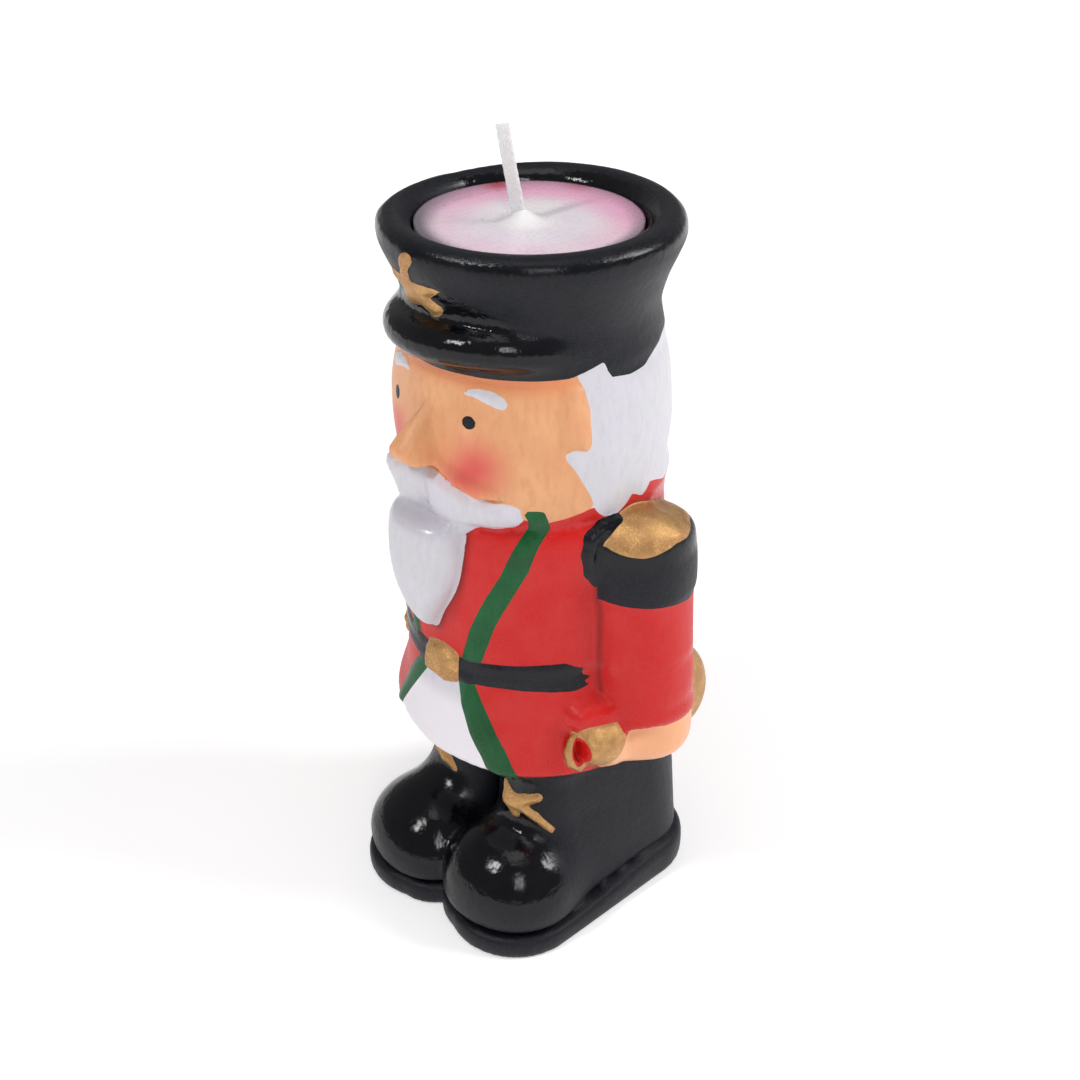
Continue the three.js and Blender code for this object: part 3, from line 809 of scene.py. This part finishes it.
PIECE_OF_ZONE = {"boots": "boot_right", "soles": "sole_right", "body": "coat_torso",
                 "cuff_left": "coat_skirt", "cuff_right": "coat_skirt",
                 "wrap_left": "arm_band_left", "wrap_right": "arm_band_right"}


def closed_patch(points, normals, faces):
    """A zone as a closed body: its outside, the same face sunk by the skin's depth, and the walls between."""
    used, f = np.unique(faces, return_inverse=True)
    f = f.reshape(-1, 3)
    p, n, count = points[used], normals[used], len(used)
    edges = np.vstack([f[:, [0, 1]], f[:, [1, 2]], f[:, [2, 0]]])
    forward = edges[:, 0] * count + edges[:, 1]
    backward = edges[:, 1] * count + edges[:, 0]
    a, b = edges[~np.isin(forward, backward)].T
    walls = [np.stack([b, a, a + count], axis=1), np.stack([b, a + count, b + count], axis=1)]
    return (np.vstack([p, p - SKIN_DEPTH * n]), np.vstack([n, -n]),
            np.vstack([f, f[:, ::-1] + count] + walls), used)


def to_row(points):
    return (np.asarray(points) + (0, AXIS_Y, 0)) * MM


def mesh_object(name, points, faces, normals=None):
    mesh = bpy.data.meshes.new(name)
    mesh.from_pydata(to_row(points).tolist(), [], [list(map(int, face)) for face in faces])
    mesh.update()
    mesh.shade_smooth()
    if normals is not None:
        mesh.normals_split_custom_set_from_vertices(np.asarray(normals, float).tolist())
    piece = bpy.data.objects.new(name, mesh)
    bpy.context.scene.collection.objects.link(piece)
    return piece


def add_mask(piece, name, values):
    attribute = piece.data.attributes.new(name, "FLOAT", "POINT")
    attribute.data.foreach_set("value", np.asarray(values, np.float32))


# ---- materials

def linear(red, green, blue):
    """The linear values that a shader takes, of a colour given as 0 to 255 display values."""
    return tuple(c / 12.92 if c <= 0.04045 else ((c + 0.055) / 1.055) ** 2.4
                 for c in (red / 255, green / 255, blue / 255)) + (1.0,)


class Look:
    """A material under construction: a Principled shader, object coordinates in millimetres, and helpers."""

    def __init__(self, name):
        self.name = name
        self.material = bpy.data.materials.new(name)
        self.material.use_nodes = True
        self.nodes = self.material.node_tree.nodes
        self.links = self.material.node_tree.links
        self.shader = self.nodes["Principled BSDF"]
        coordinates = self.nodes.new("ShaderNodeTexCoord")
        scale = self.nodes.new("ShaderNodeMapping")
        scale.inputs["Scale"].default_value = (1000, 1000, 1000)
        self.links.new(coordinates.outputs["Object"], scale.inputs["Vector"])
        self.place = scale.outputs["Vector"]

    def set(self, **values):
        for name, value in values.items():
            self.shader.inputs[name.replace("_", " ")].default_value = value

    def noise(self, per_mm, detail=3.0, rough=0.55, squash=None):
        node = self.nodes.new("ShaderNodeTexNoise")
        node.inputs["Scale"].default_value = per_mm
        node.inputs["Detail"].default_value = detail
        node.inputs["Roughness"].default_value = rough
        place = self.place
        if squash:
            stretch = self.nodes.new("ShaderNodeMapping")
            stretch.inputs["Scale"].default_value = squash
            self.links.new(place, stretch.inputs["Vector"])
            place = stretch.outputs["Vector"]
        self.links.new(place, node.inputs["Vector"])
        return node.outputs["Fac"]

    def mask(self, name):
        node = self.nodes.new("ShaderNodeAttribute")
        node.attribute_name = name
        return node.outputs["Fac"]

    def span(self, value, low, high, to_low=0.0, to_high=1.0):
        node = self.nodes.new("ShaderNodeMapRange")
        node.interpolation_type = "SMOOTHSTEP"
        for name, number in (("From Min", low), ("From Max", high), ("To Min", to_low), ("To Max", to_high)):
            node.inputs[name].default_value = number
        self.links.new(value, node.inputs["Value"])
        return node.outputs["Result"]

    def feed(self, socket, value):
        """A number or a (red, green, blue) colour is set on the socket, and anything else is linked to it."""
        if isinstance(value, tuple):
            socket.default_value = linear(*value)
        elif isinstance(value, (int, float)):
            socket.default_value = value
        else:
            self.links.new(value, socket)

    def math(self, operation, a, b):
        node = self.nodes.new("ShaderNodeMath")
        node.operation = operation
        self.feed(node.inputs[0], a)
        self.feed(node.inputs[1], b)
        return node.outputs["Value"]

    def plus(self, a, b):
        return self.math("ADD", a, b)

    def minus(self, a, b):
        return self.math("SUBTRACT", a, b)

    def times(self, a, b):
        return self.math("MULTIPLY", a, b)

    def blend(self, factor, a, b):
        node = self.nodes.new("ShaderNodeMix")
        node.data_type = "RGBA"
        self.feed(node.inputs["Factor"], factor)
        self.feed(node.inputs["A"], a)
        self.feed(node.inputs["B"], b)
        return node.outputs["Result"]

    def colour(self, value):
        self.links.new(value, self.shader.inputs["Base Color"])

    def tint(self, amount, colour):
        """Blends a colour over the base colour that the shader has so far."""
        tone = self.shader.inputs["Base Color"].links[0].from_socket
        self.colour(self.blend(amount, tone, colour))

    def roughness(self, value):
        self.links.new(value, self.shader.inputs["Roughness"])

    def bump(self, height, strength, distance_mm):
        node = self.nodes.new("ShaderNodeBump")
        node.inputs["Strength"].default_value = strength
        node.inputs["Distance"].default_value = distance_mm * MM
        self.links.new(height, node.inputs["Height"])
        self.links.new(node.outputs["Normal"], self.shader.inputs["Normal"])


def paint(name, base, pale, deep, satin, gloss, grain, speck=None, crease_shade=None, shine_level=0.36):
    """Brushed acrylic paint on fired clay: grainy and satin where thin, smooth and glossy where it pooled.
    Satin and gloss are the roughness of the two. The colour for creases, where given, is painted shade along
    them."""
    look = Look(name)
    look.set(IOR=1.5, Coat_Weight=0.0)
    broad = look.noise(0.16, 2)
    fine = look.noise(5.0, 3, 0.7)
    brushed = look.noise(0.9, 4, 0.6, (1, 1, 0.35))
    wet = look.mask("gloss")
    dry = look.minus(1.0, wet)
    tone = look.blend(look.span(broad, 0.35, 0.68), base, pale)
    tone = look.blend(look.span(brushed, 0.42, 0.75, 0, 0.5), tone, deep)
    if speck is not None:
        tone = look.blend(look.times(look.span(fine, 0.42, 0.72), dry), tone, speck)
    tone = look.blend(look.times(wet, 0.55), tone, deep)
    # Painted shade: the colour for creases is blended in where the trunk meets the limbs and the beard.
    if crease_shade is not None:
        tone = look.blend(look.times(look.mask("crease_shade"), 0.85), tone, crease_shade)
    look.colour(tone)
    dull = look.plus(look.span(fine, 0.3, 0.75, satin - 0.07, satin + 0.1),
                     look.span(broad, 0.3, 0.7, -0.04, 0.04))
    look.roughness(look.plus(look.times(look.minus(dull, gloss), dry), gloss))
    relief = look.times(fine, look.minus(1.0, look.times(wet, 0.8)))
    look.bump(look.plus(relief, look.times(look.noise(0.7, 2), 1.6)), grain, 0.12)
    look.links.new(look.plus(look.times(wet, 0.1), shine_level), look.shader.inputs["Specular IOR Level"])
    return look


def make_materials():
    """Every material, by the name of its slot in the record."""
    made = [
        paint("black_paint", (15, 17, 23), (24, 25, 31), (2, 2, 4), 0.42, 0.07, 0.5,
              (42, 43, 51), shine_level=0.20),
        # The red paint's (112, 10, 8) is painted shade in its creases.
        paint("red_paint", (194, 22, 18), (197, 42, 40), (196, 8, 3), 0.42, 0.16, 0.3,
              (204, 48, 46), (112, 10, 8), 0.24),
        paint("green_paint", (6, 76, 34), (18, 88, 46), (2, 56, 18), 0.42, 0.15, 0.35,
              (34, 98, 58), shine_level=0.22),
        white_paint(), skin_paint(), gold_paint(), candle_wax(), wick_braid(), tinned_steel()]
    return {look.name: look for look in made}


def white_paint():
    look = paint("white_paint", (203, 202, 206), (207, 203, 212), (191, 188, 199),
                 0.36, 0.14, 0.25)
    look.tint(look.mask("bright"), (236, 230, 236))
    look.tint(look.times(look.mask("blush"), 0.6), (230, 150, 144))
    return look


def skin_paint():
    look = paint("skin_paint", (221, 158, 112), (227, 167, 120), (210, 140, 97),
                 0.42, 0.2, 0.25)
    # The shade colour is painted shade under the peak and beside the nose.
    for mask, colour in (("shade", (222, 128, 78)), ("bright", (243, 174, 128)),
                         ("blush", (212, 82, 76))):
        look.tint(look.mask(mask), colour)
    look.set(Subsurface_Weight=0.04, Subsurface_Scale=0.002)
    return look


def gold_paint():
    look = Look("gold_paint")
    look.set(Metallic=0.75, IOR=1.5)
    fine = look.noise(3.2, 4, 0.75)
    broad = look.noise(0.5, 3)
    look.colour(look.blend(look.span(broad, 0.35, 0.68), (184, 138, 92), (214, 168, 110)))
    look.tint(look.span(fine, 0.40, 0.62, 0, 0.7), (150, 106, 62))
    # Painted glints: a pale gold speckled over the places where the paint is glossy.
    look.tint(look.times(look.mask("gloss"), look.span(fine, 0.5, 0.7)), (250, 208, 130))
    look.roughness(look.span(fine, 0.35, 0.7, 0.36, 0.58))
    look.bump(look.plus(fine, look.times(look.noise(1.3, 2), 0.8)), 0.55, 0.16)
    return look


def candle_wax():
    look = Look("candle_wax")
    cloudy = look.noise(0.12, 2)
    look.colour(look.blend(look.span(cloudy, 0.35, 0.7), (230, 224, 226), (224, 214, 224)))
    # The grey colour is painted shade at the wax's edge, where the cup's wall shades it.
    for mask, colour in (("pink", (230, 158, 192)), ("red", (214, 60, 74)),
                         ("wall_shade", (76, 74, 84)), ("mound", (236, 234, 236))):
        look.tint(look.mask(mask), colour)
    look.set(IOR=1.44)
    look.roughness(look.span(look.noise(1.2, 3), 0.3, 0.7, 0.22, 0.38))
    look.bump(look.plus(look.noise(0.3, 2), look.times(look.noise(1.4, 2), 0.15)), 0.12, 0.25)
    return look


def wick_braid():
    look = Look("wick_braid")
    fibre = look.noise(9, 3, 0.7, (1, 1, 0.25))
    look.colour(look.blend(look.span(fibre, 0.3, 0.7), (222, 222, 224), (244, 244, 243)))
    look.roughness(look.span(fibre, 0.3, 0.7, 0.65, 0.9))
    look.set(Sheen_Weight=0.3, Subsurface_Weight=0.25, Subsurface_Scale=0.001)
    look.bump(fibre, 0.6, 0.06)
    return look


def tinned_steel():
    look = Look("tinned_steel")
    look.set(Metallic=1.0)
    brushed = look.noise(1.2, 3, 0.6, (1, 1, 8))
    look.colour(look.blend(look.span(brushed, 0.3, 0.7), (176, 180, 186), (204, 206, 210)))
    look.roughness(look.span(brushed, 0.3, 0.7, 0.25, 0.45))
    look.bump(brushed, 0.2, 0.02)
    return look


SLOT_OF = {part["node"]: part["material_slot"] for part in frame["record"]["subparts"]}


def finish_piece(piece, looks, *nodes):
    slot = SLOT_OF[nodes[0]]
    piece.data.materials.append(looks[slot].material)
    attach(piece, "root")
    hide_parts(*nodes)
    return piece


# ---- the casting's pieces

def near(p, centre, radius):
    """1 at the centre, easing to 0 at the radius (which may differ along x, y and z)."""
    away = np.linalg.norm((p - np.array(centre, float)) / np.array(radius, float), axis=1)
    return ease(1 - away)


def gloss_and_glint_mask(p):
    """Where the paint pooled thick and dried shiny. In the gold paint it also places painted glints."""
    x, y, z = p.T
    angle = angle_of(x, y)
    patch = Outline([(-10, 118), (-3, 122), (2, 124.6), (4.4, 123.9), (5.5, 122.8), (8, 122.4), (10.4, 121),
                     (13.7, 118), (17, 115.6), (17, 112), (0, 112), (-10, 113)], 0.4)
    crest = 0.8 * bump((z - RIM + 1.6) / 2.0) * (np.hypot(x, y) > 21)
    in_cup = (np.hypot(x, y) < 19.8) * (z > WAX - 4)
    hat = np.maximum.reduce([
        ease(0.5 - patch(x, z) / 1.2) * (y < 0), crest, in_cup * ease((y + 2) / 6),
        ease((HAT + 8.2 - z) / 2) * ease((-y - 8) / 6) * (z > HAT - 1)])
    toes = ease((-y - 12) / 4) * ease((z - 8) / 3.5) * (z < 24)
    toes = np.maximum(toes, ease((-y - 12) / 4) * ease((z - 20) / 3) * ease((36 - z) / 5) * (np.abs(x) < 15))
    weld = 0.7 * bump((z - 4.6) / 0.9) * ease((-y - 14) / 6)
    arm_front = near(p, (20.6, -6.5, 79), (5, 6, 8))
    arm_ring = 0.9 * bump((z - 78.6) / 2.6) * (np.abs(x) > 13)
    skirt = 0.5 * ease((HEM + 15 - z) / 4) * (z > HEM - 3) * ease((angle - 15) / 12)
    collar = 0.8 * bump((z - NECK + 0.2) / 3.2)
    belt = 0.8 * bump((z - BELT - 2.6) / 1.6)
    beard_top = 0.6 * near(p, (1, -24.5, 86.5), (5, 5, 2.5))
    shiny = [hat, toes, weld, arm_front, arm_ring, skirt, collar, belt, beard_top]
    return np.clip(np.maximum.reduce(shiny), 0, 1)


def blush_mask(p):
    cheeks = [near(p, (side * 9.4, -21.2, 95), (7.2, 9, 7.6)) for side in (1, -1)]
    nose_side = 0.35 * near(p, (5, -22.6, 93), (6, 5, 3.5))
    return np.clip(0.95 * np.maximum(*cheeks) + nose_side, 0, 1)


def crease_shade_mask(p):
    """Painted shade: a line of shade in the creases where two shapes meet."""
    x, y, z = p.T
    trunk = np.abs(body(x, y, z))
    limbs = [np.abs(shape(side * x, y, z)) for side, _ in SIDES for shape in (arm, hand)]
    other = np.minimum.reduce(limbs + [np.abs(beard(x, y, z)) + (z > NECK) * FAR])
    return ease(1 - np.maximum(trunk, other) / 1.3)


def shade_mask(p):
    """Painted shade under the peak and in the corner beside the nose, and a deeper orange along the cheek
    ridge.
    """
    x, y, z = p.T
    under_peak = 0.8 * ease((z - HAT + 3.2) / 2.6) * ease((-y - 6) / 8)
    nostril = 0.35 * near(p, (3.4, -24.5, 96.5), (2.4, 4, 5))
    ridge = 0.5 * near(p, (8, -22.6, 91.6), (6, 3, 2.2))
    return np.clip(np.maximum.reduce([under_peak, nostril, ridge]), 0, 1)


def bright_mask(p):
    """Paler paint low on the figure, fading out a little below the belt."""
    return 0.8 * ease((HEM + 14 - p[:, 2]) / 4)


def make_casting(looks):
    points, faces = casting_field().surface()
    shell = Shell(points, faces, "body")
    for paint_some in (paint_shapes, paint_trunk, paint_relief, paint_limbs):
        paint_some(shell)
    normals = shell.normals()
    by_piece = {}
    for index, zone in enumerate(shell.zones):
        by_piece.setdefault(PIECE_OF_ZONE.get(zone, zone), []).append(index)
    for name, indices in by_piece.items():
        chosen = shell.faces[np.isin(shell.zone, indices)]
        p, n, f, used = closed_patch(shell.points, normals, chosen)
        piece = mesh_object(name + "_looks", p, f, n)
        outside = shell.points[used]
        masks = {"gloss": gloss_and_glint_mask(outside), "blush": blush_mask(outside), "shade": shade_mask(outside),
                 "crease_shade": crease_shade_mask(outside), "bright": bright_mask(outside)}
        for mask, values in masks.items():
            add_mask(piece, mask, np.tile(values, 2))
        finish_piece(piece, looks, name)


# ---- the candle

def hill(x, y, at, radii, height):
    """A smooth low hill: its height at the middle, easing to 0 at the radii."""
    return height * ease(1 - np.hypot((x - at[0]) / radii[0], (y - at[1]) / radii[1]))


def make_wax(looks):
    """Poured wax: a shallow meniscus at the cup's wall and a low mound where it climbs the wick."""
    rings, turns, edge, crowding = 44, 128, 18.0, 0.85
    floor = CUP_FLOOR + 0.6
    theta = np.linspace(0, 2 * math.pi, turns, endpoint=False)
    levels = [(r, 0) for r in edge * (np.arange(1, rings + 1) / rings) ** crowding]
    levels += [(17.6, WAX - 6), (16.2, floor)]
    points = [(0, 0, 0)]
    for r, z in levels:
        points += [(r * math.cos(t), r * math.sin(t), z) for t in theta]
    points.append((0, 0, floor))
    p = np.array(points, float)
    top = 1 + rings * turns
    x, y = p[:top, 0], p[:top, 1]
    meniscus = 0.5 * ease((np.hypot(x, y) - 15.5) / 2.5)
    mound_shape = np.hypot((x + 0.2) / 4.8, (y + 1.0) / 4.8)
    hills = 1.5 * ease(1 - mound_shape)
    hills += hill(x, y, (-0.2, -1.0), (2.4, 2.4), 0.6) + hill(x, y, (2.5, -5), (9, 7), 0.45)
    bubbles = hill(x, y, (-2.5, 8.6), (0.7, 0.7), 0.3) + hill(x, y, (-4, 9.6), (0.5, 0.5), 0.22)
    ripple = 0.03 * np.sin(0.5 * x + 0.4) * np.sin(0.45 * y + 1.1)
    p[:top, 2] = WAX - 0.6 + meniscus + hills + ripple + bubbles
    p += (CUP["x"], CUP["y"], 0)
    last = 1 + (len(levels) - 1) * turns
    around = [(k, (k + 1) % turns) for k in range(turns)]
    faces = [(0, 1 + k, 1 + m) for k, m in around]
    for a in range(1, last, turns):
        faces += [(a + k, a + turns + k, a + turns + m, a + m) for k, m in around]
    faces += [(last + m, last + k, len(p) - 1) for k, m in around]
    piece = mesh_object("candle_wax_looks", p, faces)
    rim = np.hypot(p[:, 0], p[:, 1])
    facing_back = ease((p[:, 1] * 0.75 - p[:, 0] * 0.35 + 8) / 18)
    pink = ease((rim - 7) / 8) * (0.35 + 0.65 * facing_back)
    red = near(p, (-16.4, 7.4, WAX), (4.5, 4.5, 3)) + 0.5 * near(p, (-6.6, 16.6, WAX), (4, 3.5, 3))
    add_mask(piece, "pink", np.clip(0.85 * pink, 0, 1))
    add_mask(piece, "red", red * ease((rim - 14.5) / 2.5))
    # Painted shade: a ring at the wax's edge by the cup's wall, weaker towards the back.
    add_mask(piece, "wall_shade", 0.9 * ease((rim - 14.2) / 3.8) * (1 - 0.35 * facing_back))
    add_mask(piece, "mound", np.append(ease(1.5 * (1 - mound_shape)), np.zeros(len(p) - top)))
    finish_piece(piece, looks, "candle_wax")


def make_wick(looks):
    """A flat wick of three cotton strands, plaited."""
    route = through([(0, 0, CUP_FLOOR + 1), (0, 0, WAX - 8), (-0.45, -1.0, WAX - 2), (-1.05, -2.0, WAX + 1.4),
                     (-1.7, -2.25, WAX + 4.6), (-2.5, -2.6, WAX + 9), (-3.4, -3.0, WICK_TOP - 0.4)], 14)
    along = np.concatenate([[0], np.cumsum(np.linalg.norm(np.diff(route, axis=0), axis=1))])
    spacing, plait_length, plait_width, swelling = 0.15, 1.5, 1.25, 0.16
    s = np.linspace(0, along[-1], int(along[-1] / spacing))
    centre = np.stack([np.interp(s, along, route[:, k]) for k in range(3)], axis=1)
    tangent = np.gradient(centre, axis=0)
    tangent /= np.linalg.norm(tangent, axis=1)[:, None]
    broad = np.array([0.80, 0.60, 0.0])
    wide = broad - (tangent @ broad)[:, None] * tangent
    wide /= np.linalg.norm(wide, axis=1)[:, None]
    thick = np.cross(tangent, wide)
    # The section is a flat oval, 2.16 by 0.72 mm
    sides = 40
    turn = 2 * np.pi * np.arange(sides) / sides
    across = 1.08 * np.sign(np.cos(turn)) * np.abs(np.cos(turn)) ** 0.55
    deep = 0.36 * np.sign(np.sin(turn)) * np.abs(np.sin(turn)) ** 0.75
    points, faces = [], []
    for at, c, w, t in zip(s, centre, wide, thick):
        # Plaited strands lie in a herringbone on both faces
        strands = np.abs(np.sin(np.pi * (at / plait_length + np.abs(across) / plait_width))) - 0.6
        points += list(c + across[:, None] * w * (1 + 0.05 * strands)[:, None]
                       + (deep * (1 + swelling * strands))[:, None] * t)
    around = [(k, (k + 1) % sides) for k in range(sides)]
    for a in range(0, (len(s) - 1) * sides, sides):
        faces += [(a + k, a + m, a + sides + m, a + sides + k) for k, m in around]
    for ring, turned in ((0, 1), (len(s) - 1, -1)):
        middle = len(points)
        points.append(centre[ring])
        faces += [(middle, ring * sides + m, ring * sides + k)[::turned] for k, m in around]
    piece = mesh_object("candle_wick_looks", np.array(points), faces)
    finish_piece(piece, looks, "candle_wick")


# ---- stage, light and camera

def make_stage():
    """A plain white floor. Its faint glow grows with the distance, so that it fades into the background."""
    half = 3.0
    mesh = bpy.data.meshes.new("floor")
    mesh.from_pydata([(-half, -half, 0), (half, -half, 0), (half, half, 0), (-half, half, 0)], [],
                     [(0, 1, 2, 3)])
    floor = bpy.data.objects.new("floor", mesh)
    bpy.context.scene.collection.objects.link(floor)
    look = Look("floor_white")
    cloudy = look.noise(0.01, 2)
    look.colour(look.blend(look.span(cloudy, 0.3, 0.7), (246, 246, 247), (250, 249, 250)))
    look.set(Roughness=0.7, Emission_Color=(1, 1, 1, 1), Specular_IOR_Level=0.2)
    away = look.nodes.new("ShaderNodeVectorMath")
    away.operation = "LENGTH"
    look.links.new(look.place, away.inputs[0])
    glow = look.span(away.outputs["Value"], 60, 800, 0.32, 0.9)
    look.links.new(glow, look.shader.inputs["Emission Strength"])
    floor.data.materials.append(look.material)


FIGURE_MIDDLE = Vector((0, 0, 0.065))


def towards(azimuth, elevation):
    """The direction at two angles in degrees: round from the figure's front to its left, and up."""
    a, e = math.radians(azimuth), math.radians(elevation)
    return Vector((math.sin(a) * math.cos(e), -math.cos(a) * math.cos(e), math.sin(e)))


def area_light(name, azimuth, elevation, distance, size, power):
    """A soft box aimed at the figure's middle."""
    light = bpy.data.lights.new(name, "AREA")
    light.shape = "RECTANGLE"
    light.size, light.size_y = size
    light.energy = power
    lamp = bpy.data.objects.new(name, light)
    away = towards(azimuth, elevation)
    lamp.location = FIGURE_MIDDLE + distance * away
    lamp.rotation_euler = away.to_track_quat("Z", "Y").to_euler()
    bpy.context.scene.collection.objects.link(lamp)


WORLD_STRENGTH = 0.27
# Each light: name, azimuth and elevation in degrees, distance and size in metres, power in watts
LIGHTS = (("key", -10, 48, 0.7, (0.05, 0.18), 1.6), ("side", 53, 34, 0.8, (0.025, 0.32), 0.9),
          ("back", 132, 36, 0.8, (0.26, 0.25), 3.2), ("top", 40, 84, 0.8, (0.4, 0.4), 0.8))


def make_lights():
    world = bpy.data.worlds.new("studio")
    world.use_nodes = True
    background = world.node_tree.nodes["Background"]
    background.inputs["Color"].default_value = (1.0, 0.995, 0.99, 1)
    background.inputs["Strength"].default_value = WORLD_STRENGTH
    bpy.context.scene.world = world
    for light in LIGHTS:
        area_light(*light)


# The camera looks back along this direction: (azimuth, elevation)
CAMERA_ANGLES = (46.43, 31.39)
CAMERA_PLACE = (0.1683, -0.15850 + AXIS_Y * MM, 0.2102)


def make_camera():
    """The studio camera: above and to the figure's front left."""
    camera = bpy.data.cameras.new("camera")
    camera.lens = 51.6
    camera.sensor_width = 36
    camera.clip_start = 0.01
    eye = bpy.data.objects.new("camera", camera)
    eye.location = CAMERA_PLACE
    eye.rotation_euler = towards(*CAMERA_ANGLES).to_track_quat("Z", "Y").to_euler()
    bpy.context.scene.collection.objects.link(eye)
    bpy.context.scene.camera = eye


looks = make_materials()
make_casting(looks)
make_wax(looks)
make_wick(looks)
steel = frame["nodes"]["wick_sustainer"]
steel.data.materials.clear()
steel.data.materials.append(looks["tinned_steel"].material)
make_stage()
make_lights()
make_camera()
bpy.context.scene.view_settings.view_transform = "Standard"

bpy.context.view_layer.update()
